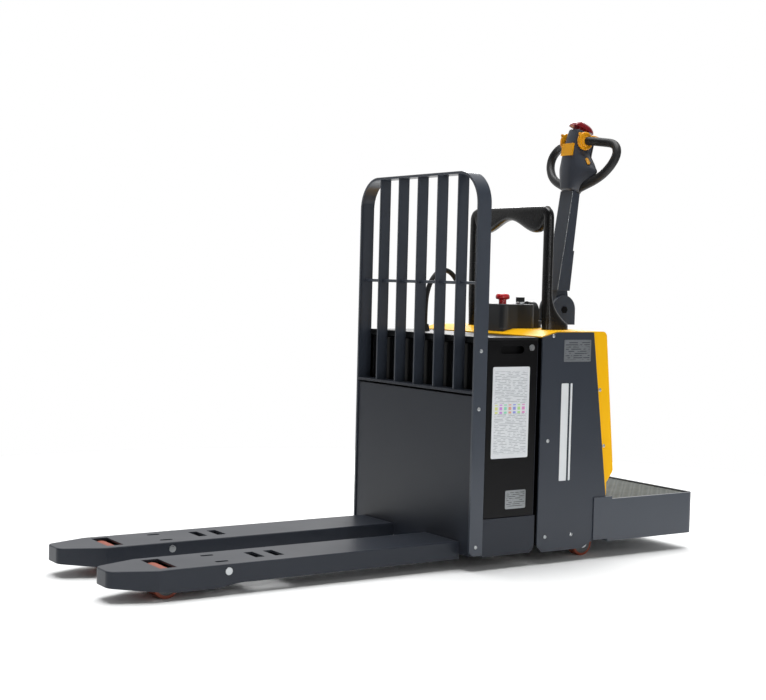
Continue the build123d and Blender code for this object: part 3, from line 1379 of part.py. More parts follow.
with BuildPart() as throttle_levers:
    with BuildSketch(head_side_plane):
        with Locations((throttle_back, throttle_up)):
            Circle(throttle_shaft_radius)
    extrude(amount=throttle_inner, both=True)
    for side in (LEFT, RIGHT):
        for tab_up, tab_back, tab_radius in thumb_tabs:
            with BuildSketch(head_side_plane.offset(-side * throttle_inner)):
                with Locations((tab_back, tab_up)):
                    Circle(tab_radius)
                with Locations((throttle_back, tab_root_up)):
                    Circle(tab_root_radius)
                make_hull()
            extrude(amount=-side * throttle_thick)
        with BuildSketch(head_side_plane.offset(-side * throttle_inner)):
            with Locations((throttle_back, throttle_up)):
                Circle(throttle_radius)
        extrude(amount=-side * throttle_thick)
throttle_levers.part.label = "throttle_levers"

with BuildPart() as control_pad:
    with BuildSketch(pad_plane.offset(pad_proud - pad_thick)):
        Rectangle(2 * pad_half_width, pad_height)
    extrude(amount=pad_thick)
control_pad.part.label = "control_pad"


def make_wing_button(side):
    """A bar-shaped button that presses into the front of one wing."""
    with BuildPart() as button:
        with BuildSketch(wing_plane(side).offset(-wing_button_deep)):
            SlotOverall(wing_button_length, wing_button_width)
        extrude(amount=wing_button_deep + wing_button_proud)
    return button


wing_button_left = make_wing_button(LEFT)
wing_button_left.part.label = "wing_button_left"
wing_button_right = make_wing_button(RIGHT)
wing_button_right.part.label = "wing_button_right"

# ---------------------------------------------------------------- files
pieces = [
    fork_left, fork_right, pivot_pins, wheel_arms, wheel_axles, load_wheel_left, load_wheel_right,
    pull_rods, rocker, backrest_frame, backrest_slats, backrest_rod, backrest_cross_bar,
    front_plate, battery_box, battery_case, battery_cells, battery_lid, battery_door_left,
    battery_door_right, door_lock_left, door_lock_right, battery_cable, frame_screws,
    piston_rod, lift_cylinder, chassis_frame, side_panel_left, side_panel_right, drive_cover,
    drive_unit, drive_wheel, hydraulic_unit, motor_controller, caster_yoke_left,
    caster_yoke_right, caster_wheel_left, caster_wheel_right, platform_deck, platform_mat,
    grab_hoop, console_box, estop_button, key_switch, ignition_key, battery_gauge, data_plate,
    panel_screws, steering_head, tiller_pin, tiller_spring, tiller_shaft, tiller_handles,
    tiller_head, tiller_head_rear, belly_button, throttle_levers, control_pad,
    wing_button_left, wing_button_right,
]
for piece in pieces:
    export_step(piece.part, f"parts/{piece.part.label}.step")
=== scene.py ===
"""Looks of an electric rider pallet truck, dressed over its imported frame, in metres.

+X runs from the fork tips to the operator platform, +Z is up and Y = 0 is the centre plane.
Each sub-assembly is a class that holds its sizes in millimetres, makes its own surfaces with
numpy and gives every carried-over CAD node its finish.
"""
from __future__ import annotations

import logging
import math
from dataclasses import dataclass
from enum import Enum
from functools import lru_cache
from typing import Iterable, Sequence

import bmesh
import bpy
import numpy as np
from mathutils import Matrix, Vector

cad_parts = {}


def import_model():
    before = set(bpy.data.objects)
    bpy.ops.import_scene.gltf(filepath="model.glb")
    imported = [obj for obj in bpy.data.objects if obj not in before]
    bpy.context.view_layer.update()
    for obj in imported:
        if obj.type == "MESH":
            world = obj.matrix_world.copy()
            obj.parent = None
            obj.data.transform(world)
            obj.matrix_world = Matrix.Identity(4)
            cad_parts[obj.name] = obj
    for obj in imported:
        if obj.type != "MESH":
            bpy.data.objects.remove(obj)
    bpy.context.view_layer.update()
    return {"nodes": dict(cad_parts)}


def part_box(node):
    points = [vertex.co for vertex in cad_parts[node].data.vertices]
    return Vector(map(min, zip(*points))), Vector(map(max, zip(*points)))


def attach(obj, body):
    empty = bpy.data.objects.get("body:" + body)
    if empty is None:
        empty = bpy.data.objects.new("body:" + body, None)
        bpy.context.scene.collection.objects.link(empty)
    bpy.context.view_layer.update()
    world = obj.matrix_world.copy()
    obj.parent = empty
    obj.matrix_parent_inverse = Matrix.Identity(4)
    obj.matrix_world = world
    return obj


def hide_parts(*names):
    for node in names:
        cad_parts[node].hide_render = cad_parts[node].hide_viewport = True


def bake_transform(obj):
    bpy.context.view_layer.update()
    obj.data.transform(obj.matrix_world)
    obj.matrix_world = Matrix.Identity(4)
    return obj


log = logging.getLogger("pallet_truck")

Points = np.ndarray
Faces = list
Tree = bpy.types.NodeTree
Socket = bpy.types.NodeSocket


class Side(Enum):
    """Which side of the centre plane a piece lies on; the value is the sign of its Y."""

    LEFT = -1
    RIGHT = 1


# ------------------------------------------------------------------------------ shader helpers
def linear(hex_colour: str, lightness: float = 1.0) -> tuple[float, float, float, float]:
    """Turns an sRGB hex colour into linear RGBA.

    Args:
        hex_colour: a colour such as "#3c4048".
        lightness: a factor on the linear value.

    Returns:
        Linear red, green, blue and an alpha of one.
    """
    channels = [int(hex_colour[i:i + 2], 16) / 255 for i in (1, 3, 5)]
    values = [c / 12.92 if c <= 0.04045 else ((c + 0.055) / 1.055) ** 2.4 for c in channels]
    red, green, blue = (min(1.0, value * lightness) for value in values)
    return red, green, blue, 1.0


def add(tree: Tree, kind: str, links: dict | None = None, **settings: object) -> bpy.types.Node:
    """Adds one node to a tree.

    Args:
        tree: the material's node tree.
        kind: the node's type name.
        links: socket name or number to the value or the output socket that feeds it.
        settings: properties of the node itself.

    Returns:
        The new node.
    """
    node = tree.nodes.new(kind)
    for name, value in settings.items():
        setattr(node, name, value)
    for socket, value in (links or {}).items():
        if isinstance(value, Socket):
            tree.links.new(value, node.inputs[socket])
        else:
            node.inputs[socket].default_value = value
    return node


# ------------------------------------------------------------------------------ finishes
LEAST_ROUGHNESS = 0.02


@dataclass(frozen=True)
class Finish:
    """A moulded or coated surface: mottled colour, smudged gloss and a fine raised grain.

    Grains finer than a few millimetres can't show from across a room, so they are drawn as
    coarse as they need to be seen.

    Attributes:
        name: the material's name.
        colour: sRGB hex colour of the clean surface.
        roughness, metallic, ior, coat, coat_roughness: values of the shader's own sockets.
        mottle, mottle_mm: how far the colour wanders either way, and the blotches' size.
        grain_mm, grain_depth_mm: size and depth of the raised grain.
        smudge, smudge_mm: how far the roughness wanders either way, and the smudges' size.
        edge_mm: radius that the shading rounds the edges by.
        worn: colour of the rubbed edges, or "" where they don't show any.
        worn_dots: the least and the most that a rubbed edge's normal may follow the flat one.
        most_worn: share of the worn colour on the sharpest edge.
    """

    name: str
    colour: str
    roughness: float
    metallic: float = 0.0
    ior: float = 1.5
    coat: float = 0.0
    coat_roughness: float = 0.06
    mottle: float = 0.06
    mottle_mm: float = 90.0
    grain_mm: float = 3.0
    grain_depth_mm: float = 0.02
    smudge: float = 0.08
    smudge_mm: float = 45.0
    edge_mm: float = 1.2
    worn: str = ""
    worn_dots: tuple[float, float] = (0.86, 0.985)
    most_worn: float = 0.9

    def blotches(self, tree: Tree, place: Socket, size_mm: float, detail: float = 3.0) -> Socket:
        """A cloudy pattern from 0 to 1, whose blotches are about this many millimetres across."""
        links = {"Vector": place, "Scale": 1000.0 / size_mm, "Detail": detail}
        return add(tree, "ShaderNodeTexNoise", links).outputs["Fac"]

    def tint(self, tree: Tree, place: Socket) -> Socket:
        """The colour: the base one, a little darker and lighter in broad blotches."""
        return add(tree, "ShaderNodeMixRGB", {
            "Fac": self.blotches(tree, place, self.mottle_mm),
            "Color1": linear(self.colour, 1 - self.mottle),
            "Color2": linear(self.colour, 1 + self.mottle),
        }).outputs["Color"]

    def height(self, tree: Tree, place: Socket) -> Socket:
        """The raised grain, from 0 to 1."""
        return self.blotches(tree, place, self.grain_mm, detail=2.0)

    def wear(self, tree: Tree, rounded: Socket, place: Socket, colour: Socket) -> Socket:
        """Lightens the edges, found where the rounded normal leaves the flat one.

        Args:
            tree: the material's node tree.
            rounded: the normal of the surface with its edges rounded.
            place: the point on the object.
            colour: the clean colour.

        Returns:
            The colour with its edges rubbed in patches.
        """
        flat = add(tree, "ShaderNodeNewGeometry").outputs["Normal"]
        dot = add(tree, "ShaderNodeVectorMath", {0: rounded, 1: flat}, operation="DOT_PRODUCT")
        rubbed = add(tree, "ShaderNodeMapRange", {
            "Value": dot.outputs["Value"], "From Min": self.worn_dots[1],
            "From Max": self.worn_dots[0], "To Max": self.most_worn,
        }).outputs["Result"]
        patchy = add(tree, "ShaderNodeMath", {
            0: rubbed, 1: self.blotches(tree, place, self.mottle_mm / 6),
        }, operation="MULTIPLY").outputs["Value"]
        return add(tree, "ShaderNodeMixRGB", {
            "Fac": patchy, "Color1": colour, "Color2": linear(self.worn),
        }).outputs["Color"]

    def build(self) -> bpy.types.Material:
        """Makes the material.

        Returns:
            A material with one Principled shader.
        """
        material = bpy.data.materials.new(self.name)
        material.use_nodes = True
        tree = material.node_tree
        tree.nodes.clear()
        place = add(tree, "ShaderNodeTexCoord").outputs["Object"]
        rounded = add(tree, "ShaderNodeBevel", {"Radius": self.edge_mm / 1000}, samples=4)
        colour = self.tint(tree, place)
        if self.worn:
            colour = self.wear(tree, rounded.outputs["Normal"], place, colour)
        bump = add(tree, "ShaderNodeBump", {
            "Strength": 1.0, "Distance": self.grain_depth_mm / 1000,
            "Height": self.height(tree, place), "Normal": rounded.outputs["Normal"],
        })
        gloss = add(tree, "ShaderNodeMapRange", {
            "Value": self.blotches(tree, place, self.smudge_mm),
            "To Min": max(LEAST_ROUGHNESS, self.roughness - self.smudge),
            "To Max": self.roughness + self.smudge,
        })
        links = {
            "Base Color": colour, "Metallic": self.metallic, "Roughness": gloss.outputs["Result"],
            "Normal": bump.outputs["Normal"],
            "Coat Weight": self.coat, "Coat Roughness": self.coat_roughness,
        }
        if not self.metallic:
            links["IOR"] = self.ior
        shader = add(tree, "ShaderNodeBsdfPrincipled", links)
        add(tree, "ShaderNodeOutputMaterial", {"Surface": shader.outputs["BSDF"]})
        return material


@dataclass(frozen=True)
class BrushedFinish(Finish):
    """Drawn or brushed metal: the grain is stretched into fine lines along one axis.

    Attributes:
        stretch: factors on X, Y and Z; the smallest is along the lines.
    """

    stretch: tuple[float, float, float] = (1.0, 0.05, 1.0)

    def height(self, tree: Tree, place: Socket) -> Socket:
        """Lines: the noise's place is squeezed along the brushing direction."""
        lines = add(tree, "ShaderNodeVectorMath", {0: place, 1: self.stretch},
                    operation="MULTIPLY")
        return self.blotches(tree, lines.outputs["Vector"], self.grain_mm, detail=4.0)


@dataclass(frozen=True)
class BondedTyre(Finish):
    """Cast polyurethane bonded to an iron hub: the colour changes at the tyre's inner radius.

    Attributes:
        axle: X and Z of the wheel's axis, in metres.
        hub_mm, hub_colour: radius and colour of the hub.
        bond_mm: width of the line between the two.
    """

    axle: tuple[float, float] = (0.0, 0.0)
    hub_mm: float = 30.0
    hub_colour: str = "#55585a"
    bond_mm: float = 0.6

    def tint(self, tree: Tree, place: Socket) -> Socket:
        """Hub colour nearer the axle than the hub's radius, tyre colour outside it."""
        spoke = add(tree, "ShaderNodeVectorMath", {0: place, 1: (self.axle[0], 0, self.axle[1])},
                    operation="SUBTRACT")
        flat = add(tree, "ShaderNodeVectorMath", {0: spoke.outputs["Vector"], 1: (1, 0, 1)},
                   operation="MULTIPLY")
        radius = add(tree, "ShaderNodeVectorMath", {0: flat.outputs["Vector"]}, operation="LENGTH")
        outside = add(tree, "ShaderNodeMapRange", {
            "Value": radius.outputs["Value"],
            "From Min": self.hub_mm / 1000, "From Max": (self.hub_mm + self.bond_mm) / 1000,
        })
        return add(tree, "ShaderNodeMixRGB", {
            "Fac": outside.outputs["Result"], "Color1": linear(self.hub_colour),
            "Color2": super().tint(tree, place),
        }).outputs["Color"]


@dataclass(frozen=True)
class PrintedPlate(Finish):
    """A printed film or plate: rows of fine broken lines in a frame, and rows of coloured tiles.

    Attributes:
        low, high: lowest and highest X and Z of the printed area, in metres.
        line_mm, line_share: spacing of the lines, and the share of it that is ink.
        ink: the lines' colour.
        break_mm, breaks: size of the blotches that break the lines, and the share they take.
        tiles: lowest and highest Z of the band of tiles, in metres.
        tile_mm: spacing of the tiles along a row.
        row_pitch: spacing of the rows, as a share of tile_mm.
        tile_shares: the share of each spacing that a tile fills.
        hue_step: how far the hue turns from one tile to the next; the golden section never
            repeats.
        tile_saturation, tile_value: of the tiles' colours.
    """

    low: tuple[float, float] = (0.0, 0.0)
    high: tuple[float, float] = (1.0, 1.0)
    line_mm: float = 5.0
    line_share: float = 0.36
    ink: str = "#b4b8bc"
    break_mm: float = 16.0
    breaks: float = 0.47
    tiles: tuple[float, float] = (0.0, 0.0)
    tile_mm: float = 18.0
    row_pitch: float = 0.8
    tile_shares: tuple[float, float] = (0.62, 0.7)
    hue_step: float = 0.61803
    tile_saturation: float = 0.62
    tile_value: float = 0.7

    def reckon(self, tree: Tree, value: Socket, *steps: tuple[str, Socket | float]) -> Socket:
        """Carries a value through arithmetic steps.

        Args:
            tree: the material's node tree.
            value: the value that goes in.
            steps: an operation and its other number or socket, in order.

        Returns:
            The value that comes out.
        """
        for operation, other in steps:
            value = add(tree, "ShaderNodeMath", {0: value, 1: other},
                        operation=operation).outputs["Value"]
        return value

    def within(self, tree: Tree, value: Socket, low: float, high: float) -> Socket:
        """One where the value is between two limits, else zero."""
        below = self.reckon(tree, value, ("LESS_THAN", high))
        return self.reckon(tree, value, ("GREATER_THAN", low), ("MULTIPLY", below))

    def part_of(self, tree: Tree, value: Socket, pitch_mm: float, share: float) -> Socket:
        """One in the first share of each pitch, else zero."""
        return self.reckon(tree, value, ("MULTIPLY", 1000 / pitch_mm), ("FRACT", 0.0),
                           ("LESS_THAN", share))

    def tint(self, tree: Tree, place: Socket) -> Socket:
        """Base colour, then ink on the broken lines, then tiles whose hue changes along the row."""
        axes = add(tree, "ShaderNodeSeparateXYZ", {"Vector": place}).outputs
        x, z = axes["X"], axes["Z"]
        inside = self.reckon(tree, self.within(tree, x, self.low[0], self.high[0]),
                             ("MULTIPLY", self.within(tree, z, self.low[1], self.high[1])))
        flattened = add(tree, "ShaderNodeVectorMath", {0: place, 1: (1, 1, 3)},
                        operation="MULTIPLY").outputs["Vector"]
        broken = self.reckon(tree, self.blotches(tree, flattened, self.break_mm, detail=1.0),
                             ("GREATER_THAN", self.breaks))
        lines = self.reckon(tree, self.part_of(tree, z, self.line_mm, self.line_share),
                            ("MULTIPLY", broken), ("MULTIPLY", inside))
        printed = add(tree, "ShaderNodeMixRGB", {
            "Fac": lines, "Color1": super().tint(tree, place), "Color2": linear(self.ink),
        }).outputs["Color"]
        band = self.reckon(tree, self.within(tree, z, *self.tiles), ("MULTIPLY", inside))
        cleared = add(tree, "ShaderNodeMixRGB", {
            "Fac": band, "Color1": printed, "Color2": linear(self.colour),
        }).outputs["Color"]
        rows = self.part_of(tree, z, self.tile_mm * self.row_pitch, self.tile_shares[1])
        tile = self.reckon(tree, self.part_of(tree, x, self.tile_mm, self.tile_shares[0]),
                           ("MULTIPLY", rows), ("MULTIPLY", band))
        hue = self.reckon(tree, x, ("MULTIPLY", 1000 / self.tile_mm), ("FLOOR", 0.0),
                          ("MULTIPLY", self.hue_step), ("FRACT", 0.0))
        hues = add(tree, "ShaderNodeCombineColor", {
            "Red": hue, "Green": self.tile_saturation, "Blue": self.tile_value,
        }, mode="HSV").outputs["Color"]
        return add(tree, "ShaderNodeMixRGB", {
            "Fac": tile, "Color1": cleared, "Color2": hues,
        }).outputs["Color"]


@lru_cache(maxsize=None)
def material_of(finish: Finish) -> bpy.types.Material:
    """Makes a finish's material once."""
    return finish.build()


# Stoved enamel on steel plate: deep slate, glossy, with a faint orange peel in the reflections.
ENAMEL = Finish("stoved_slate_enamel", "#3b414b", 0.3, ior=1.45, coat=0.1, coat_roughness=0.06,
                mottle=0.04, mottle_mm=220, grain_mm=9, grain_depth_mm=0.03, smudge=0.05,
                smudge_mm=160, edge_mm=1.4, worn="#555b64")
# The same enamel on thick cut plate, its colour painted darker as painted shade; duller, with a
# wider bead of paint along the edges.
PLATE_PAINTED_SHADE = Finish("slate_plate_painted_shade", "#2a2e36", 0.36, ior=1.32, mottle=0.05,
                      mottle_mm=260, grain_mm=8, grain_depth_mm=0.03, smudge=0.06,
                      smudge_mm=190, edge_mm=2.2, worn="#565c65")
# The same again on the upright side panels, its colour painted darker than the base as painted
# shade, though lighter than the plate's; smoother.
PANEL_PAINTED_SHADE = Finish("slate_panel_painted_shade", "#343942", 0.32, ior=1.4, mottle=0.05,
                      mottle_mm=240, grain_mm=8, grain_depth_mm=0.03, smudge=0.06,
                      smudge_mm=170, edge_mm=1.8, worn="#565c65")
# Dull black paint on pressed sheet.
BLACK_ENAMEL = Finish("satin_black_enamel", "#08080a", 0.34, ior=1.26,
                      mottle=0.08, mottle_mm=180, grain_mm=6, grain_depth_mm=0.03, smudge=0.07,
                      edge_mm=1.0, worn="#2b2d30")
# Sprayed signal-yellow enamel on sheet steel: soft reflections, slight orange peel.
YELLOW_ENAMEL = Finish("signal_yellow_enamel", "#ffbe00", 0.42, ior=1.3,
                       mottle=0.03, mottle_mm=200, grain_mm=8, grain_depth_mm=0.03, smudge=0.05,
                       edge_mm=1.6, worn="#ffca45")
# Injection-moulded ABS: a spark-eroded, leather-like grain that scatters the highlights.
BLACK_ABS = Finish("grained_black_abs", "#0e0f10", 0.4, mottle=0.08, mottle_mm=120, grain_mm=3.2,
                   grain_depth_mm=0.14, smudge=0.08, edge_mm=1.5, worn="#2c2e31")
SLATE_ABS = Finish("fine_grained_slate_abs", "#3f444f", 0.4, mottle=0.06, mottle_mm=90,
                   grain_mm=2.8, grain_depth_mm=0.09, smudge=0.08, edge_mm=1.2, worn="#585d67")
CONSOLE_ABS = Finish("dark_slate_abs", "#2b2f34", 0.42, mottle=0.06, mottle_mm=90,
                     grain_mm=3.0, grain_depth_mm=0.08, smudge=0.08, edge_mm=2.0, worn="#464b52")
# Self-skinned polyurethane foam over a steel hoop: smooth, dark and rather glossy.
HOOP_PU = Finish("self_skinned_polyurethane", "#0c0c0d", 0.27, mottle=0.1, mottle_mm=60,
                 grain_mm=4, grain_depth_mm=0.06, smudge=0.08, smudge_mm=60)
# Rubberised grip over a steel tube: near black, soft sheen, hand-polished patches.
GRIP = Finish("rubberised_grip", "#17181a", 0.5, mottle=0.1, mottle_mm=60, grain_mm=2.4,
              grain_depth_mm=0.12, smudge=0.14, smudge_mm=70, edge_mm=0.8)
# Smooth glossy mouldings of the controls.
YELLOW_ABS = Finish("glossy_yellow_abs", "#ffb005", 0.34, ior=1.4, mottle=0.04, mottle_mm=40,
                    grain_mm=3, grain_depth_mm=0.03, edge_mm=1.2, worn="#ffd063")
ORANGE_ABS = Finish("amber_orange_abs", "#ffab08", 0.34, ior=1.4, mottle=0.05, mottle_mm=40,
                    grain_mm=3, grain_depth_mm=0.04, edge_mm=1.5, worn="#ffbe5a")
RED_ABS = Finish("signal_red_abs", "#c3101a", 0.25, coat=0.4, mottle=0.05, mottle_mm=30,
                 grain_mm=3, grain_depth_mm=0.02, edge_mm=1.0, worn="#de4a4c")
DARK_RED_ABS = Finish("deep_red_abs", "#8c0f1c", 0.24, coat=0.5, mottle=0.05, mottle_mm=40,
                      grain_mm=3, grain_depth_mm=0.02, edge_mm=1.0, worn="#b03a40")
# Zinc-plated screws and yokes, with the streaky sheen of barrel plating.
ZINC = BrushedFinish("bright_zinc_plate", "#b9bcbe", 0.3, metallic=1.0, mottle=0.12, mottle_mm=25,
                     grain_mm=2, grain_depth_mm=0.02, smudge=0.12, smudge_mm=12, edge_mm=0.5,
                     stretch=(1.0, 1.0, 0.2))
# Cold-drawn steel rods: lines along the bar.
DRAWN_STEEL = BrushedFinish("cold_drawn_steel", "#9fa2a4", 0.28, metallic=1.0, mottle=0.1,
                            mottle_mm=70, grain_mm=1.6, grain_depth_mm=0.02, smudge=0.1,
                            edge_mm=0.6, stretch=(0.04, 1.0, 1.0))
# Hard chrome on the piston: mirror-like under a film of oil.
CHROME = Finish("hard_chrome", "#c9ccce", 0.08, metallic=1.0, mottle=0.03, grain_mm=4,
                grain_depth_mm=0.004, smudge=0.04, edge_mm=0.5)
# Sand-cast gear housing: coarse skin under thin paint.
CAST_IRON = Finish("painted_cast_iron", "#2f3234", 0.6, mottle=0.16, mottle_mm=40, grain_mm=3.5,
                   grain_depth_mm=0.35, smudge=0.1, edge_mm=2.0, worn="#4b4e50")
# Brushed aluminium of the plate and the finned controller.
ALUMINIUM = BrushedFinish("brushed_aluminium", "#9a9da0", 0.36, metallic=1.0, mottle=0.08,
                          mottle_mm=50, grain_mm=2.2, grain_depth_mm=0.03, smudge=0.08,
                          edge_mm=0.5, stretch=(0.06, 1.0, 1.0))
# Ribbed rubber mat, greyed by shoe dust.
MAT_RUBBER = Finish("dusty_tread_rubber", "#434845", 0.75, mottle=0.22, mottle_mm=70, grain_mm=3,
                    grain_depth_mm=0.12, smudge=0.1, edge_mm=0.8, worn="#7a807b")
# Neoprene cable sheath with a faint bloom.
NEOPRENE = Finish("neoprene_sheath", "#121314", 0.5, mottle=0.14, mottle_mm=50, grain_mm=3,
                  grain_depth_mm=0.06, smudge=0.1, edge_mm=0.5)
# Smoked polycarbonate window, polished: a clear small highlight.
GAUGE_GLASS = Finish("smoked_gauge_window", "#0c1512", 0.08, coat=0.8, coat_roughness=0.03,
                     mottle=0.2, mottle_mm=12, grain_mm=6, grain_depth_mm=0.002, smudge=0.03)
# Cast vinyl film: even and slightly satin.
STRIPE_VINYL = Finish("pale_vinyl_stripe", "#dfe2e4", 0.38, mottle=0.03, mottle_mm=60,
                      grain_mm=5, grain_depth_mm=0.02, smudge=0.06)


# ------------------------------------------------------------------------------ mesh helpers
def unit(vectors: Points) -> Points:
    """Vectors along the last axis, made one long."""
    return vectors / np.linalg.norm(vectors, axis=-1, keepdims=True)


def spans_of(before: Points, own: Points, after: Points, t: Points) -> Points:
    """Points of quadratic B-spline spans at each t from 0 to 1.

    They are (1-t)^2 / 2 of the control point before, (1 + 2t - 2t^2) / 2 of the span's own and
    t^2 / 2 of the one after.
    """
    return 0.5 * (1 - t) ** 2 * before + (0.5 + t * (1 - t)) * own + 0.5 * t ** 2 * after


def squircle(columns: int, power: float) -> tuple[Points, Points]:
    """Cosine and sine round a ring, each raised to a power with its sign kept."""
    angle = np.linspace(0, 2 * np.pi, columns, endpoint=False)
    c, s = (np.sign(w) * np.abs(w) ** power for w in (np.cos(angle), np.sin(angle)))
    return c, s


def mm(*values: float) -> np.ndarray:
    """Millimetres as an array in metres."""
    return np.array(values, float) / 1000.0


def grid_faces(rows: int, columns: int, closed: bool) -> Faces:
    """Quads between neighbouring rows of points.

    Args:
        rows: number of rows.
        columns: points in a row.
        closed: whether a row's last point joins its first.

    Returns:
        Lists of four indices.
    """
    i = np.arange(rows - 1)[:, None]
    j = np.arange(columns if closed else columns - 1)[None, :]
    k = (j + 1) % columns
    corners = (i * columns + j, i * columns + k, (i + 1) * columns + k, (i + 1) * columns + j)
    return np.stack(np.broadcast_arrays(*corners), -1).reshape(-1, 4).tolist()


def lofted(rings: Points) -> tuple[Points, Faces]:
    """A closed shell through rings of points, with a flat face over each end ring.

    Args:
        rings: array of rows, points in a ring, and three coordinates.

    Returns:
        The points as one list, and the faces.
    """
    rows, columns = rings.shape[:2]
    faces = grid_faces(rows, columns, closed=True)
    faces.append(list(range(columns))[::-1])
    faces.append([(rows - 1) * columns + j for j in range(columns)])
    return rings.reshape(-1, 3), faces


def turned(profile: Sequence[tuple[float, float]], centre: Sequence[float], axis: Sequence[float],
           columns: int = 48) -> Points:
    """Rings of a profile turned about an axis.

    A ring's point is centre + axis * h + (e1 cos t + e2 sin t) * r, for each r and h of the
    profile and each angle t, where e1 and e2 are square to the axis.

    Args:
        profile: radius and height of each ring, in millimetres.
        centre: the axis' zero height, in metres.
        axis: its direction.
        columns: points round each ring.

    Returns:
        An array of rings.
    """
    direction = unit(np.array(axis, float))
    helper = np.array([1.0, 0, 0]) if abs(direction[0]) < 0.5 else np.array([0, 1.0, 0])
    first = unit(np.cross(direction, helper))
    second = np.cross(direction, first)
    angle = np.linspace(0, 2 * np.pi, columns, endpoint=False)[None, :, None]
    radius, height = (np.array(profile, float).T / 1000)[:, :, None, None]
    spoke = first * np.cos(angle) + second * np.sin(angle)
    return np.array(centre) + direction * height + radius * spoke


def smooth_path(corners: Sequence[Sequence[float]], steps: int = 10) -> Points:
    """Points of the quadratic B-spline with these control points.

    The control polygon is carried on by a mirrored point past each end, so the curve starts half
    a run before the first control point and ends half a run past the last.

    Args:
        corners: the control points.
        steps: points in each span.

    Returns:
        One point in each row.
    """
    points = np.array(corners, float)
    points = np.concatenate([2 * points[:1] - points[1:2], points,
                             2 * points[-1:] - points[-2:-1]])
    t = np.linspace(0, 1, steps, endpoint=False)[:, None]
    spans = spans_of(points[:-2, None], points[1:-1, None], points[2:, None], t)
    return np.concatenate([spans.reshape(-1, points.shape[1]), (points[-2:-1] + points[-1:]) / 2])


def tube(line: Points, radii: Points | float, upright: Sequence[float], columns: int = 24,
         squareness: float = 2.0) -> Points:
    """Rings of a superellipse carried along a line, square to it.

    A ring's point is line + across * ra * c + normal * rn * s, where c and s are the cosine and
    sine of its angle, each raised to 2 / squareness with its sign kept.

    Args:
        line: the centreline, in metres.
        radii: one radius, or the radii across and square to that at each point, in metres.
        upright: a direction that is never along the line.
        columns: points round each ring.
        squareness: 2 for an ellipse, more for a rounder-cornered box.

    Returns:
        An array of rings.
    """
    tangent = unit(np.gradient(line, axis=0))
    up = np.array(upright, float)
    across = unit(up - tangent * (tangent @ up)[:, None])
    normal = np.cross(tangent, across)
    c, s = squircle(columns, 2 / squareness)
    sizes = np.broadcast_to(np.array(radii, float), (len(line), 2))
    return (line[:, None] + across[:, None] * c[None, :, None] * sizes[:, :1, None]
            + normal[:, None] * s[None, :, None] * sizes[:, 1:, None])


def rounded_rectangle(width: float, height: float, radius: float, steps: int = 8) -> Points:
    """Outline of a rectangle about the origin with quarter-round corners.

    Args:
        width, height, radius: in millimetres.
        steps: points on each corner.

    Returns:
        Two columns, in millimetres, anticlockwise.
    """
    turn = np.linspace(0, np.pi / 2, steps)[None, :] + np.arange(4)[:, None] * np.pi / 2
    signs = np.array([(1, 1), (-1, 1), (-1, -1), (1, -1)])[:, None, :]
    centres = signs * np.array([width / 2 - radius, height / 2 - radius])
    return (centres + radius * np.stack([np.cos(turn), np.sin(turn)], -1)).reshape(-1, 2)


# Points nearer than this are one, on a new piece and on a CAD node; an edge sharper than the
# angle is rounded.
JOIN_M = 1e-6
CAD_JOIN_M = 1e-5
BEVEL_FROM_DEG = 40


def put(name: str, data: bpy.types.ID) -> bpy.types.Object:
    """Puts a mesh, curve, lamp or camera into the scene as an object at the origin."""
    thing = bpy.data.objects.new(name, data)
    bpy.context.scene.collection.objects.link(thing)
    return thing


def make_piece(name: str, parts: Iterable[tuple[Points, Faces]], finish: Finish, body: str,
               sharp_deg: float = 35.0) -> bpy.types.Object:
    """Puts closed shells into one object, dresses it and makes it ride on a body.

    Args:
        name: the piece's name.
        parts: points and faces of each shell.
        finish: its material.
        body: the CAD body that it moves with, or "" for none.
        sharp_deg: edges sharper than this are kept crisp.

    Returns:
        The object, at the origin.
    """
    points, faces, start = [], [], 0
    for shell_points, shell_faces in parts:
        points.append(shell_points)
        faces.extend([[start + index for index in face] for face in shell_faces])
        start += len(shell_points)
    mesh = bpy.data.meshes.new(name)
    mesh.from_pydata(np.concatenate(points).tolist(), [], faces)
    work = bmesh.new()
    work.from_mesh(mesh)
    bmesh.ops.remove_doubles(work, verts=work.verts, dist=JOIN_M)
    bmesh.ops.recalc_face_normals(work, faces=work.faces)
    work.to_mesh(mesh)
    work.free()
    mesh.polygons.foreach_set("use_smooth", np.ones(len(mesh.polygons), bool))
    mesh.set_sharp_from_angle(angle=math.radians(sharp_deg))
    mesh.materials.append(material_of(finish))
    piece = put(name, mesh)
    if body:
        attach(piece, body)
    log.info("made %s with %d faces", name, len(mesh.polygons))
    return piece


@dataclass
class SubAssembly:
    """A group of pieces that dresses its CAD nodes.

    Attributes:
        nodes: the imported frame's objects by node name.
    """

    nodes: dict[str, bpy.types.Object]

    def dress(self, finish: Finish, *names: str) -> None:
        """Gives CAD nodes a finish.

        Args:
            finish: the finish.
            names: the nodes.
        """
        for name in names:
            mesh = self.nodes[name].data
            if not mesh.materials:
                mesh.materials.append(None)
            for index in range(len(mesh.materials)):
                self.nodes[name].material_slots[index].material = material_of(finish)
            log.info("dressed %s in %s", name, finish.name)

    def soften(self, width_mm: float, *names: str) -> None:
        """Rounds the edges of CAD nodes, on their joined triangles.

        Args:
            width_mm: how far from the edge the rounding starts.
            names: the nodes.
        """
        for name in names:
            weld = self.nodes[name].modifiers.new("joined", "WELD")
            weld.merge_threshold = CAD_JOIN_M
            bevel = self.nodes[name].modifiers.new("rounded", "BEVEL")
            bevel.width = width_mm / 1000
            bevel.segments = 3
            bevel.limit_method = "ANGLE"
            bevel.angle_limit = math.radians(BEVEL_FROM_DEG)
            bevel.harden_normals = True

    def build(self) -> None:
        """Makes and dresses the sub-assembly's pieces."""
        raise NotImplementedError


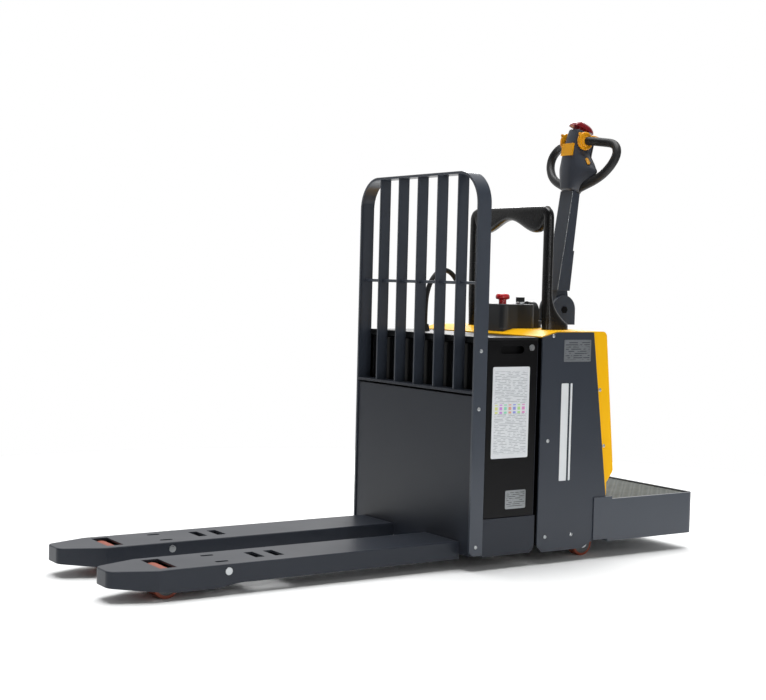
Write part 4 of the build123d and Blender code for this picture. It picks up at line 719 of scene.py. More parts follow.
def roller_finish(name: str, node: str, hub_mm: float, mottle_mm: float) -> BondedTyre:
    """Cast polyurethane on an iron hub: warm red-brown, waxy, scuffed by floor grit.

    Args:
        name: the material's name.
        node: a CAD wheel on the axis that the hub is centred on.
        hub_mm: the hub's radius.
        mottle_mm: size of the blotches.

    Returns:
        The finish.
    """
    low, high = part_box(node)
    return BondedTyre(name, "#8d3c20", 0.42, mottle=0.14, mottle_mm=mottle_mm, grain_mm=3,
                      grain_depth_mm=0.08, smudge=0.12, edge_mm=1.0, hub_mm=hub_mm,
                      axle=((low[0] + high[0]) / 2, (low[2] + high[2]) / 2))


# ------------------------------------------------------------------------------ forks
@dataclass
class Forks(SubAssembly):
    """Two fork blades, their load wheels and the linkage under them.

    Attributes:
        wheel_hub_mm: radius of the load wheels' hubs.
    """

    wheel_hub_mm: float = 32.0

    def build(self) -> None:
        """Dresses the blades, pins, arms, rods and wheels."""
        # The blades and arms take the slate enamel painted darker, a painted shade.
        self.dress(PLATE_PAINTED_SHADE, "fork_left", "fork_right", "wheel_arms")
        self.dress(ZINC, "pivot_pins")
        self.dress(DRAWN_STEEL, "wheel_axles", "pull_rods")
        self.dress(BLACK_ENAMEL, "rocker")
        tyre = roller_finish("brown_polyurethane_roller", "load_wheel_left",
                             self.wheel_hub_mm, 30)
        self.dress(tyre, "load_wheel_left", "load_wheel_right")


# ------------------------------------------------------------------------------ backrest
@dataclass
class Backrest(SubAssembly):
    """The load backrest and the plate under it."""

    def build(self) -> None:
        """Dresses the frame, its slats, rod and bar, and the front plate."""
        self.dress(ENAMEL, "backrest_frame", "backrest_slats", "backrest_rod")
        # The cross bar and front plate take the slate enamel painted darker, a painted shade.
        self.dress(PLATE_PAINTED_SHADE, "backrest_cross_bar", "front_plate")


# ------------------------------------------------------------------------------ screws
@dataclass
class ScrewSet(SubAssembly):
    """Button-head screws with a hexagon socket, standing on the truck's side faces.

    Attributes:
        node: the CAD node that they replace.
        body: the body that they ride on.
        radius, rise: of the head, in millimetres.
        skirt: share of the rise under the dome.
        dome_rad: how far round the dome goes before the flat top.
        socket, socket_depth: radius and depth of the hexagon's socket.
        rim: width of the broken edge round the socket, whose depth is a third of it.
    """

    node: str = ""
    body: str = ""
    radius: float = 6.0
    rise: float = 3.0
    skirt: float = 0.25
    dome_rad: float = 1.05
    socket: float = 2.6
    socket_depth: float = 1.6
    rim: float = 0.3

    def profile(self) -> list[tuple[float, float]]:
        """Radius and height of the head: skirt, dome, rim of the socket and its floor.

        At an angle t the dome is radius * cos t wide and rise * (skirt + (1 - skirt) * sin t)
        high.
        """
        dome = [(self.radius * math.cos(t),
                 self.rise * (self.skirt + (1 - self.skirt) * math.sin(t)))
                for t in np.linspace(0, self.dome_rad, 6)]
        wall = [(self.socket, self.rise - self.rim / 3),
                (self.socket, self.rise - self.socket_depth)]
        return [(self.radius, 0.0), *dome, (self.socket + self.rim, self.rise), *wall]

    def centres(self) -> Points:
        """The middle of each CAD head's foot, found from the node's loose pieces."""
        work = bmesh.new()
        work.from_mesh(self.nodes[self.node].data)
        bmesh.ops.remove_doubles(work, verts=work.verts, dist=CAD_JOIN_M)
        places, seen = [], set()
        for vert in work.verts:
            if vert in seen:
                continue
            group, stack = [], [vert]
            seen.add(vert)
            while stack:
                current = stack.pop()
                group.append(current.co[:])
                for edge in current.link_edges:
                    other = edge.other_vert(current)
                    if other not in seen:
                        seen.add(other)
                        stack.append(other)
            block = np.array(group)
            middle = (block.min(0) + block.max(0)) / 2
            middle[1] = np.sign(middle[1]) * np.abs(block[:, 1]).min()
            places.append(middle)
        work.free()
        return np.array(places)

    def build(self) -> None:
        """Puts a turned head with a socket on each place and hides the CAD heads."""
        parts = []
        for centre in self.centres():
            outward = (0.0, float(np.sign(centre[1])), 0.0)
            parts.append(lofted(turned(self.profile(), centre, outward, columns=24)))
        piece = make_piece(f"{self.node}_socket_heads", parts, ZINC, self.body)
        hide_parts(self.node)


# ------------------------------------------------------------------------------ battery box
@dataclass
class BatteryBox(SubAssembly):
    """The battery box with its doors, locks, lid and what lies inside.

    Attributes:
        label: low X, low Z, high X, high Z of the large label, in millimetres.
        plate: the same of the small plate.
        door_face: how far the door's outer face is from the centre plane.
        film: the label's thickness; the plate has twice that.
        corner, bevel: radius of their corners, and width of the slope along their edges.
        label_margin, plate_margin: from their edges to the print, in X and in Z.
        tile_band: lowest and highest tile above the label's lower edge.
    """

    label: tuple[float, float, float, float] = (169.0, 352.0, 316.0, 640.0)
    plate: tuple[float, float, float, float] = (231.0, 190.0, 313.0, 249.0)
    door_face: float = 336.0
    film: float = 0.3
    corner: float = 5.0
    bevel: float = 0.4
    label_margin: tuple[float, float] = (9.0, 14.0)
    plate_margin: tuple[float, float] = (5.0, 5.0)
    tile_band: tuple[float, float] = (141.0, 170.0)

    def sticker(self, name: str, area: tuple[float, float, float, float], finish: Finish,
                thick: float, slot: str) -> None:
        """A thin rounded plate on the left door's face.

        Its rings are the outline at the face and at 70% of the thickness, and the outline set
        in by the bevel at the full thickness.

        Args:
            name: the piece's name.
            area: low X, low Z, high X, high Z.
            finish: its material.
            thick: how far it stands proud.
            slot: its material slot; not used.
        """
        x0, z0, x1, z1 = area
        rings = []
        for inset, depth in ((0.0, 0.0), (0.0, 0.7 * thick), (self.bevel, thick)):
            outline = rounded_rectangle(x1 - x0 - 2 * inset, z1 - z0 - 2 * inset,
                                        self.corner - inset)
            y = np.full(len(outline), -(self.door_face + depth))
            rings.append(np.stack([outline[:, 0] + (x0 + x1) / 2, y,
                                   outline[:, 1] + (z0 + z1) / 2], -1))
        make_piece(name, [lofted(np.array(rings) / 1000)], finish, "door_left")

    def printed(self, area: tuple[float, float, float, float],
                margin: tuple[float, float]) -> dict[str, tuple[float, ...]]:
        """Lowest and highest X and Z, in metres, of the print in an area with this margin."""
        x0, z0, x1, z1 = area
        return {"low": tuple(mm(x0 + margin[0], z0 + margin[1])),
                "high": tuple(mm(x1 - margin[0], z1 - margin[1]))}

    def build(self) -> None:
        """Dresses the box and adds the label and the plate, which have no lettering."""
        # The box takes the slate enamel painted darker, a painted shade.
        self.dress(PLATE_PAINTED_SHADE, "battery_box")
        self.dress(BLACK_ENAMEL, "battery_door_left", "battery_door_right", "battery_case")
        self.dress(BLACK_ABS, "battery_lid", "battery_cells")
        self.dress(ZINC, "door_lock_left", "door_lock_right")
        # White polyester film with pale print, slightly satin.
        vinyl = PrintedPlate("white_printed_film", "#dcdfe2", 0.38, mottle=0.02, grain_mm=5,
                             grain_depth_mm=0.01, edge_mm=0.3, ink="#a3a8ad",
                             tiles=tuple(mm(*(self.label[1] + z for z in self.tile_band))),
                             **self.printed(self.label, self.label_margin))
        self.sticker("door_label", self.label, vinyl, self.film, "battery_paint")
        # Etched aluminium: dull lines between bright ones.
        etched = PrintedPlate("etched_aluminium_plate", "#8e9294", 0.42, metallic=0.6, mottle=0.1,
                              mottle_mm=14, grain_mm=3, grain_depth_mm=0.02, edge_mm=0.4,
                              ink="#4b4e51", line_mm=6.0,
                              **self.printed(self.plate, self.plate_margin))
        self.sticker("door_small_plate", self.plate, etched, 2 * self.film, "cast_aluminium")
        ScrewSet(self.nodes, "frame_screws", "fork_frame").build()


# ------------------------------------------------------------------------------ cable
@dataclass
class BatteryCable(SubAssembly):
    """The sheathed cable that arches from the battery lid to the drive cover.

    Attributes:
        route: its route's points, in millimetres, from the lid's gland to the cover's.
        radius: of the sheath.
        boot_foot, boot_mouth: radius of a boot at its foot and at its mouth.
        boot_bore: radius of the hole that the sheath passes through.
        ribs, rib_depth: how many ribs a boot has, and how far they rise either way.
        lid_boot, cover_boot: lowest and highest Z of each boot.
    """

    route: tuple = (
        (245.0, 148.0, 754.0), (245.0, 148.0, 806.0), (249.0, 147.5, 862.0), (269.0, 148.0, 910.0),
        (307.0, 150.0, 944.0), (349.0, 151.0, 938.0), (382.0, 151.0, 902.0), (396.0, 150.0, 858.0),
        (395.0, 148.0, 812.0), (395.0, 148.0, 766.0),
    )
    radius: float = 8.5
    boot_foot: float = 17.6
    boot_mouth: float = 13.0
    boot_bore: float = 9.2
    ribs: int = 5
    rib_depth: float = 0.5
    lid_boot: tuple[float, float] = (732.2, 756.0)
    cover_boot: tuple[float, float] = (741.0, 768.0)

    def centreline(self) -> Points:
        """Points along the NURBS spline whose control points are the route's."""
        curve = bpy.data.curves.new("cable_route", "CURVE")
        curve.dimensions = "3D"
        spline = curve.splines.new("NURBS")
        spline.points.add(len(self.route) - 1)
        controls = np.c_[np.array(self.route) / 1000, np.ones(len(self.route))]
        spline.points.foreach_set("co", controls.ravel())
        spline.order_u = 3
        spline.use_endpoint_u = True
        spline.resolution_u = 12
        holder = put("cable_route", curve)
        bpy.context.view_layer.update()
        graph = bpy.context.evaluated_depsgraph_get()
        line = bpy.data.meshes.new_from_object(holder.evaluated_get(graph))
        points = np.empty(3 * len(line.vertices))
        line.vertices.foreach_get("co", points)
        bpy.data.objects.remove(holder)
        bpy.data.curves.remove(curve)
        bpy.data.meshes.remove(line)
        return points.reshape(-1, 3)

    def boot(self, name: str, span: tuple[float, float], place: Sequence[float],
             body: str) -> None:
        """A tapered, ribbed boot over a gland.

        At a share u of its height its radius is foot + (mouth - foot) * u + depth *
        cos(2 pi * ribs * u).

        Args:
            name: the piece's name.
            span: Z of its foot and of its mouth.
            place: X and Y of its axis.
            body: the body that it rides on.
        """
        low, high = span
        share = np.linspace(0, 1, 25)
        radius = (self.boot_foot + (self.boot_mouth - self.boot_foot) * share
                  + self.rib_depth * np.cos(share * 2 * np.pi * self.ribs))
        profile = [(self.boot_bore, low), *zip(radius, low + (high - low) * share),
                   (self.boot_bore, high)]
        rings = turned(profile, mm(place[0], place[1], 0), (0, 0, 1), columns=40)
        make_piece(name, [lofted(rings)], NEOPRENE, body, sharp_deg=60)

    def build(self) -> None:
        """Sweeps the sheath along the centreline, square to it."""
        line = self.centreline()
        rings = tube(line, self.radius / 1000, (0, 1, 0))
        cable = make_piece("battery_cable_sheath", [lofted(rings)], NEOPRENE, "",
                           60)
        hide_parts("battery_cable")
        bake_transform(cable)
        self.boot("lid_cable_boot", self.lid_boot, self.route[0][:2], "fork_frame")
        self.boot("cover_cable_boot", self.cover_boot, self.route[-1][:2], "drive_chassis")


# ------------------------------------------------------------------------------ chassis
@dataclass
class DriveChassis(SubAssembly):
    """Side panels, drive cover, plates and the machinery behind them.

    Attributes:
        stripe: low X, low Z, high X, high Z of the pale stripe, in millimetres.
        stripe_gap: width of its narrow bar and of the gap beside it.
        stripe_film, stripe_corner: its thickness, and the radius of its corners.
        panel_face: how far the side panels' outer faces are from the centre plane.
        drive_axle, drive_hub_mm: X and Z of the drive wheel's axis, and its hub's radius.
        caster_hub_mm: radius of the caster wheels' hubs.
        plate_margin: from the data plate's edge to its print, in metres.
    """

    stripe: tuple[float, float, float, float] = (446.0, 268.0, 492.0, 584.0)
    stripe_gap: float = 8.0
    stripe_film: float = 0.25
    stripe_corner: float = 3.0
    panel_face: float = 340.0
    drive_axle: tuple[float, float] = (507.0, 115.0)
    drive_hub_mm: float = 95.0
    caster_hub_mm: float = 31.0
    plate_margin: float = 0.006

    def side_stripe(self, side: Side) -> None:
        """Two upright bars on a side panel, one wide and one narrow, each a thin film."""
        x0, z0, x1, z1 = self.stripe
        parts = []
        for left, right in ((x0, x1 - 2 * self.stripe_gap), (x1 - self.stripe_gap, x1)):
            outline = rounded_rectangle(right - left, z1 - z0, self.stripe_corner)
            rings = [np.stack([outline[:, 0] + (left + right) / 2,
                               np.full(len(outline), side.value * (self.panel_face + depth)),
                               outline[:, 1] + (z0 + z1) / 2], -1)
                     for depth in (0.0, self.stripe_film)]
            parts.append(lofted(np.array(rings) / 1000))
        make_piece(f"side_stripe_{side.name.lower()}", parts, STRIPE_VINYL, "drive_chassis")

    def build(self) -> None:
        """Dresses the chassis and adds the plain stripes and the screws."""
        # The side panels take the slate enamel painted darker, a painted shade.
        self.dress(PANEL_PAINTED_SHADE, "side_panel_left", "side_panel_right")
        self.dress(BLACK_ENAMEL, "chassis_frame", "lift_cylinder", "hydraulic_unit")
        self.dress(YELLOW_ENAMEL, "drive_cover")
        self.dress(CAST_IRON, "drive_unit")
        self.dress(ALUMINIUM, "motor_controller")
        low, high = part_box("data_plate")
        # Etched aluminium: dull lines in a bright frame.
        etched = PrintedPlate("etched_data_plate", "#7e8286", 0.42, metallic=0.6, mottle=0.12,
                              mottle_mm=14, grain_mm=3, grain_depth_mm=0.02, edge_mm=0.4,
                              ink="#43474c", line_mm=7.0,
                              low=(low[0] + self.plate_margin, low[2] + self.plate_margin),
                              high=(high[0] - self.plate_margin, high[2] - self.plate_margin))
        self.dress(etched, "data_plate")
        self.dress(CHROME, "piston_rod")
        self.dress(ZINC, "caster_yoke_left", "caster_yoke_right")
        # Vulcanised rubber: black and dull, greyed in patches by the floor.
        traction = BondedTyre("black_traction_tyre", "#1c1b1a", 0.6, mottle=0.15, mottle_mm=40,
                              grain_mm=3, grain_depth_mm=0.1, axle=tuple(mm(*self.drive_axle)),
                              hub_mm=self.drive_hub_mm)
        self.dress(traction, "drive_wheel")
        roller = roller_finish("brown_polyurethane_caster", "caster_wheel_left",
                               self.caster_hub_mm, 25)
        self.dress(roller, "caster_wheel_left", "caster_wheel_right")
        for side in Side:
            self.side_stripe(side)
        ScrewSet(self.nodes, "panel_screws", "drive_chassis").build()


# ------------------------------------------------------------------------------ platform
@dataclass
class Platform(SubAssembly):
    """The operator platform and its mat with raised lens-shaped treads.

    Attributes:
        pitch: spacing of the treads, in millimetres.
        lens: half length and half width of a tread.
        rise: height of a tread.
        grid: spacing of the mat's points.
    """

    pitch: float = 22.0
    lens: tuple[float, float] = (9.5, 3.4)
    rise: float = 2.0
    grid: float = 2.1

    def build(self) -> None:
        """Dresses the deck and makes the mat.

        The mat's top is z = base + rise * sqrt(1 - (a / length)^2 - (b / width)^2), never under
        the base, where a and b run along and across the tread of the point's cell, which leans
        45 degrees one way in the even cells and the other way in the odd ones.
        """
        self.dress(ENAMEL, "platform_deck")
        low, high = (np.array(corner) * 1000 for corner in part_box("platform_mat"))
        x = np.arange(low[0], high[0] + 0.01, self.grid)
        y = np.arange(low[1], high[1] + 0.01, self.grid)
        gx, gy = np.meshgrid(x, y, indexing="ij")
        column, row = np.floor(gx / self.pitch), np.floor(gy / self.pitch)
        u = gx - (column + 0.5) * self.pitch
        v = gy - (row + 0.5) * self.pitch
        lean = np.where((column + row) % 2 == 0, 1.0, -1.0) * np.pi / 4
        along = u * np.cos(lean) + v * np.sin(lean)
        across = v * np.cos(lean) - u * np.sin(lean)
        dome = 1 - (along / self.lens[0]) ** 2 - (across / self.lens[1]) ** 2
        top = high[2] - self.rise + self.rise * np.sqrt(np.clip(dome, 0, 1))
        top[[0, -1], :] = top[:, [0, -1]] = high[2] - self.rise
        skirt = np.pad(np.stack([gx, gy, top], -1), ((1, 1), (1, 1), (0, 0)), mode="edge")
        skirt[[0, -1], :, 2] = low[2]
        skirt[:, [0, -1], 2] = low[2]
        rows, columns = skirt.shape[:2]
        index = np.arange(rows * columns).reshape(rows, columns)
        rim = np.concatenate([index[0], index[1:, -1], index[-1, -2::-1], index[-2:0:-1, 0]])
        faces = grid_faces(rows, columns, closed=False) + [rim[::-1].tolist()]
        mat = make_piece("tread_mat", [(skirt.reshape(-1, 3) / 1000, faces)], MAT_RUBBER,
                         "drive_chassis", sharp_deg=60)
        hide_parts("platform_mat")


# ------------------------------------------------------------------------------ console
@dataclass
class Console(SubAssembly):
    """The grab hoop, and the console with its stop button, key and battery gauge.

    Attributes:
        estop: X and Y of the stop button's axis, in millimetres.
        estop_profile: radius and height of the stop button: stem, rim and crowned top.
        gauge, gauge_radius: Y and Z of the gauge's axis, and its window's radius.
        hoop: Y and Z of the control points of one half of the hoop's line.
        hoop_front: X of the hoop's front face.
        hoop_half: half width of its legs.
        leg_depth: thickness of a leg in X, and what its foot adds.
        ankle: height where a foot begins, and how far down it goes.
        flare: power that the foot grows with.
        bar_top, bar_depth: the bar's top, and its depth at the middle.
        hang: what the bar's bellies add to its depth.
        bar_ends: half spacing of the bellies, and half the bar's length.
        bar_thick, bar_middle: thickness of the bar in X, and its middle behind the front face.
    """

    estop: tuple[float, float] = (417.0, -58.0)
    estop_profile: tuple = (
        (13.0, 821.0), (13.0, 846.0), (20.5, 848.0), (23.2, 850.0), (24.0, 854.0), (23.4, 859.0),
        (21.0, 863.5), (16.0, 866.6), (9.0, 867.8), (1.0, 868.0),
    )
    gauge: tuple[float, float] = (-52.0, 808.0)
    gauge_radius: float = 26.0
    hoop: tuple = ((201.5, 790), (201.5, 868), (201.5, 940), (201.5, 1020), (201.5, 1100),
                   (200, 1141.5), (150, 1142.5), (60, 1142.5))
    hoop_front: float = 475.0
    hoop_half: float = 17.4
    leg_depth: tuple[float, float] = (28.0, 76.0)
    ankle: tuple[float, float] = (881.0, 112.0)
    flare: float = 2.4
    bar_top: float = 1159.6
    bar_depth: float = 44.0
    hang: float = 43.12
    bar_ends: tuple[float, float] = (138.0, 188.0)
    bar_thick: float = 34.0
    bar_middle: float = 17.2

    def hoop_rings(self, points: Points, tangent: Points, depth: Points, half: Points,
                   middle: Points) -> Points:
        """Superellipses square to a line in the hoop's plane, from its front face backwards.

        A ring's point is the line's, plus half * s along the line's normal, and lies at front +
        middle + depth / 2 * c in X; c and s are cosine and sine raised to 0.7 with their signs.

        Args:
            points: Y and Z of the line.
            tangent: its unit direction.
            depth: thickness in X at each point.
            half: half width in the hoop's plane at each point.
            middle: the ring's middle behind the front face.

        Returns:
            An array of rings, in metres.
        """
        c, s = squircle(36, 0.7)
        x = self.hoop_front + middle[:, None] + depth[:, None] / 2 * c
        y = points[:, :1] + tangent[:, 1:] * half[:, None] * s
        z = points[:, 1:] - tangent[:, :1] * half[:, None] * s
        return np.stack([x, y, z], -1) / 1000

    def grab_bar(self) -> None:
        """The grab hoop: round-edged legs with flared feet, and a bar whose ends hang lower.

        A leg's depth is constant above the ankle, and below it grows with a power of the way
        down. The bar's depth grows by sin^2 of the place along it up to each belly, and shrinks
        as a quarter ellipse beyond it.
        """
        corners = np.array(self.hoop, float)
        path = smooth_path(np.concatenate([corners, (corners * (-1, 1))[::-1]]), 12)
        tangent = unit(np.gradient(path, axis=0))
        down = np.clip((self.ankle[0] - path[:, 1]) / self.ankle[1], 0, 1)
        depth = self.leg_depth[0] + self.leg_depth[1] * down ** self.flare
        legs = self.hoop_rings(path, tangent, depth, np.full(len(path), self.hoop_half),
                               depth / 2)
        belly, end = self.bar_ends
        y = np.linspace(-end, end, 121)
        near = np.abs(y)
        hang = np.where(near < belly, np.sin(np.pi / 2 * np.minimum(near / belly, 1)) ** 2,
                        np.sqrt(np.clip(1 - ((near - belly) / (end - belly)) ** 2, 0, 1)))
        tall = self.bar_depth + self.hang * hang
        line = np.stack([y, self.bar_top - tall / 2], -1)
        level = np.tile([1.0, 0.0], (len(y), 1))
        bar = self.hoop_rings(line, level, np.full(len(y), self.bar_thick), tall / 2,
                              np.full(len(y), self.bar_middle))
        piece = make_piece("grab_bar", [lofted(legs), lofted(bar)], HOOP_PU, "drive_chassis",
                           60)
        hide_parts("grab_hoop")

    def build(self) -> None:
        """Dresses the mouldings and adds the stop button and the gauge's window."""
        self.grab_bar()
        self.dress(CONSOLE_ABS, "console_box")
        self.soften(3.0, "console_box")
        self.dress(BLACK_ABS, "battery_gauge", "ignition_key")
        self.soften(1.2, "ignition_key")
        self.dress(ZINC, "key_switch")
        rings = turned(self.estop_profile, mm(*self.estop, 0), (0, 0, 1))
        button = make_piece("stop_button", [lofted(rings)], RED_ABS, "estop", 50)
        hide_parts("estop_button")
        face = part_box("battery_gauge")[1][0] * 1000
        wide = self.gauge_radius
        window = [(wide, -0.5), (wide, 0.3), (wide - 0.8, 0.8), (0.6 * wide, 1.4), (1.0, 1.7)]
        rings = turned(window, mm(face, *self.gauge), (1, 0, 0))
        make_piece("gauge_window", [lofted(rings)], GAUGE_GLASS, "drive_chassis",
                   50)


# ------------------------------------------------------------------------------ tiller
@dataclass
class Tiller(SubAssembly):
    """The steering head, the tiller arm, its spring and the bright beads painted along the arm's
    corners as a highlight.

    Attributes:
        edge_low: lower end of the arm's front corners, in millimetres, for the side of +Y.
        edge_high: their upper end.
        highlight_radius_mm: radius of the bright steel bead along them, a painted highlight where
            the corners catch the light.
    """

    edge_low: tuple[float, float, float] = (678.6, 32.2, 884.0)
    edge_high: tuple[float, float, float] = (734.0, 32.2, 1226.0)
    highlight_radius_mm: float = 1.3

    def painted_highlight_beads(self) -> None:
        """A bright steel bead along each front corner of the arm, a painted highlight: a circle
        carried along a straight line.
        """
        beads = []
        for side in Side:
            ends = mm(*self.edge_low), mm(*self.edge_high)
            line = np.linspace(*ends, 12) * (1, side.value, 1)
            beads.append(lofted(tube(line, self.highlight_radius_mm / 1000, (1, 0, 0), 10)))
        # Bright steel beads: a painted highlight on the arm's front corners, not a real part of the
        # truck.
        make_piece("shaft_edge_beads", beads, DRAWN_STEEL, "tiller", 60)

    def build(self) -> None:
        """Dresses the head's clevis, the pin, the spring and the arm, and adds the painted
        highlight beads on its corners.
        """
        self.dress(ENAMEL, "steering_head", "tiller_shaft")
        self.dress(BLACK_ENAMEL, "tiller_pin")
        self.dress(DRAWN_STEEL, "tiller_spring")
        self.soften(2.0, "steering_head")
        self.painted_highlight_beads()


@dataclass
class TillerHead(SubAssembly):
    """The head of the tiller: two half shells, handles, buttons and thumb levers.

    The head has its own axes: y across, up along the head and fwd towards the forks.

    Attributes:
        origin: their origin, in millimetres.
        tilt_deg: how far the head leans towards the operator.
        ups: heights of the sections.
        front, side, rear: half width and forward depth of each section's three corners.
        round_share: how far along each side of a section its corners' rounding reaches.
        smooth_rows: rows that the sizes are averaged over.
        seam: half the gap between the shells.
        edge_round: radius of the head's top and bottom edges.
        cap_half, cap_length: half width of the reverse cap, and where its ends are.
        cap_levels: height of its underside, of its edge and of its crown.
        cap_power: of the cap's outline; more is squarer.
        neck: half width and half length of the cap's neck, and its foot's height.
        loop, loop_radius: control points of a handle loop, across, up and forwards, and its
            radius.
        throttle_axis: height and depth of the throttles' axis.
        disc: radius and place across of a throttle's disc.
        tabs: height and depth of each tab's tip, and how far its middle bows up.
        tab_y, tab_size: place across of the tabs, and their radii at the root.
        tab_taper, tab_tip: what a tab loses towards its tip, and factors that round it off.
    """

    origin: tuple[float, float, float] = (766.0, 0.0, 1250.0)
    tilt_deg: float = 20.0
    ups: tuple = (-30.0, 5.0, 30.0, 50.0, 78.0, 110.0, 155.0, 183.0)
    front: tuple = ((28, 36), (31, 48), (32, 56), (33, 62), (33, 69), (32, 75), (30, 79), (26, 80))
    side: tuple = ((33, 9), (71, -1), (95, -4), (108, -6), (80, 5), (41, 19), (39.5, 20), (37, 20))
    rear: tuple = ((29, -19), (39, -19), (50, -18), (58, -17), (47, -16), (36, -15), (33, -11),
                   (30, -5))
    round_share: float = 0.16
    smooth_rows: int = 7
    seam: float = 0.4
    edge_round: float = 6.0
    cap_half: float = 25.8
    cap_length: tuple[float, float] = (-2.0, 88.0)
    cap_levels: tuple[float, float, float] = (192.0, 195.0, 217.0)
    cap_power: float = 5.0
    neck: tuple[float, float, float] = (17.5, 28.0, 165.0)
    loop: tuple = ((34, 146, 46), (62, 148, 40), (98, 153, 12), (148, 150, 0), (174, 116, -2),
                   (164, 70, -2), (122, 24, -1), (40, -7, -2))
    loop_radius: float = 15.0
    throttle_axis: tuple[float, float] = (145.0, 48.0)
    disc: tuple = ((10, 41), (29, 41), (31.5, 42.5), (32, 46), (31.5, 50), (29, 53), (26, 53.4),
                   (22, 51.5), (19, 51), (17, 53), (14, 53.4), (1, 53.4))
    tabs: tuple = ((158.0, 78.0, 2.0), (176.0, 2.0, 9.0))
    tab_y: float = 46.5
    tab_size: tuple[float, float] = (6.0, 9.0)
    tab_taper: float = 0.45
    tab_tip: tuple[float, ...] = (0.97, 0.86, 0.66, 0.3)

    def place(self, y: Points, up: Points, fwd: Points) -> Points:
        """World place of points given along the head's axes.

        Args:
            y, up, fwd: across, up along the head and forwards, in millimetres.

        Returns:
            X, Y and Z along a new last axis, in metres.
        """
        tilt = math.radians(self.tilt_deg)
        x = self.origin[0] + up * math.sin(tilt) - fwd * math.cos(tilt)
        z = self.origin[2] + up * math.cos(tilt) + fwd * math.sin(tilt)
        return np.stack(np.broadcast_arrays(x, y, z), -1) / 1000

    def outlines(self, rows: int = 72, steps: int = 8) -> tuple[Points, Points, Points]:
        """Y, up and forward depth of the head's skin on a grid.

        A section is the closed quadratic B-spline with two control points on each side of its
        hexagon, a share of the side from either end. Sizes between the given heights are linear,
        then averaged over a few rows; within the end radius the section shrinks as a quarter
        round.

        Args:
            rows: number of sections.
            steps: points in each span of the spline.

        Returns:
            Three arrays of the grid's shape.
        """
        ups = np.linspace(self.ups[0], self.ups[-1], rows)
        kernel = np.hanning(self.smooth_rows + 2)[1:-1]
        kernel /= kernel.sum()

        def along(corner: tuple, column: int) -> Points:
            """One size at every row, smoothed with its end values carried on."""
            values = np.interp(ups, self.ups, np.array(corner, float)[:, column])
            padded = np.pad(values, self.smooth_rows // 2, mode="edge")
            return np.convolve(padded, kernel, mode="valid")

        corners = [(sign * along(corner, 0), along(corner, 1)) for sign, corner in (
            (1, self.front), (1, self.side), (1, self.rear),
            (-1, self.rear), (-1, self.side), (-1, self.front))]
        hexagon = np.array(corners).transpose(2, 0, 1)
        following = np.roll(hexagon, -1, axis=1)
        share = self.round_share
        control = np.stack([hexagon * (1 - share) + following * share,
                            hexagon * share + following * (1 - share)], 2).reshape(rows, -1, 2)
        before, after = np.roll(control, 1, axis=1), np.roll(control, -1, axis=1)
        t = np.linspace(0, 1, steps, endpoint=False)[:, None]
        skin = spans_of(before[:, :, None], control[:, :, None], after[:, :, None], t)
        skin = skin.reshape(rows, -1, 2)
        reach = np.minimum(ups - ups[0], ups[-1] - ups)
        lack = np.clip(1 - reach / self.edge_round, 0, 1)
        inset = self.edge_round * (1 - np.sqrt(1 - lack ** 2))
        middle = skin.mean(1, keepdims=True)
        span = np.abs(skin - middle).max(1, keepdims=True)
        skin = middle + (skin - middle) * (1 - inset[:, None, None] / span)
        return skin[:, :, 0], np.broadcast_to(ups[:, None], skin.shape[:2]), skin[:, :, 1]

    def shells(self) -> None:
        """The two half shells: the skin, flattened at the parting seam on the other's side."""
        y, up, fwd = self.outlines()
        for node, finish, slot, clipped in (
            ("tiller_head", SLATE_ABS, "slate_plastic", np.maximum(fwd, self.seam)),
            ("tiller_head_rear", BLACK_ABS, "black_plastic", np.minimum(fwd, -self.seam)),
        ):
            shell = make_piece(f"{node}_shell", [lofted(self.place(y, up, clipped))], finish,
                               "tiller", sharp_deg=50)
            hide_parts(node)

    def handles(self) -> None:
        """The two handle loops: round tubes on smooth paths from the throttle hubs to the neck."""
        tilt = math.radians(self.tilt_deg)
        path = smooth_path(self.loop)
        parts = []
        for side in Side:
            line = self.place(side.value * path[:, 0], path[:, 1], path[:, 2])
            rings = tube(line, self.loop_radius / 1000, (math.cos(tilt), 0, -math.sin(tilt)), 32)
            parts.append(lofted(rings))
        grips = make_piece("handle_loops", parts, GRIP, "tiller", sharp_deg=60)
        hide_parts("tiller_handles")

    def throttles(self) -> None:
        """Two dished discs on one axis, each with a thumb tab at its front and one at its rear."""
        up, fwd = self.throttle_axis
        centre = self.place(0.0, up, fwd)
        parts = []
        for side in Side:
            parts.append(lofted(turned(self.disc, centre, (0, side.value, 0))))
            for tip_up, tip_fwd, reach in self.tabs:
                path = smooth_path(((up, fwd), ((up + tip_up) / 2 + reach, (fwd + tip_fwd) / 2),
                                    (tip_up, tip_fwd)), 8)
                across = np.full(len(path), side.value * self.tab_y)
                line = self.place(across, path[:, 0], path[:, 1])
                taper = 1 - self.tab_taper * np.linspace(0, 1, len(path)) ** 2
                taper[-len(self.tab_tip):] *= self.tab_tip
                radii = np.stack([taper * self.tab_size[0], taper * self.tab_size[1]], -1) / 1000
                parts.append(lofted(tube(line, radii, (0, 1, 0), squareness=2.8)))
        levers = make_piece("thumb_throttles", parts, ORANGE_ABS, "throttle", 50)
        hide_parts("throttle_levers")

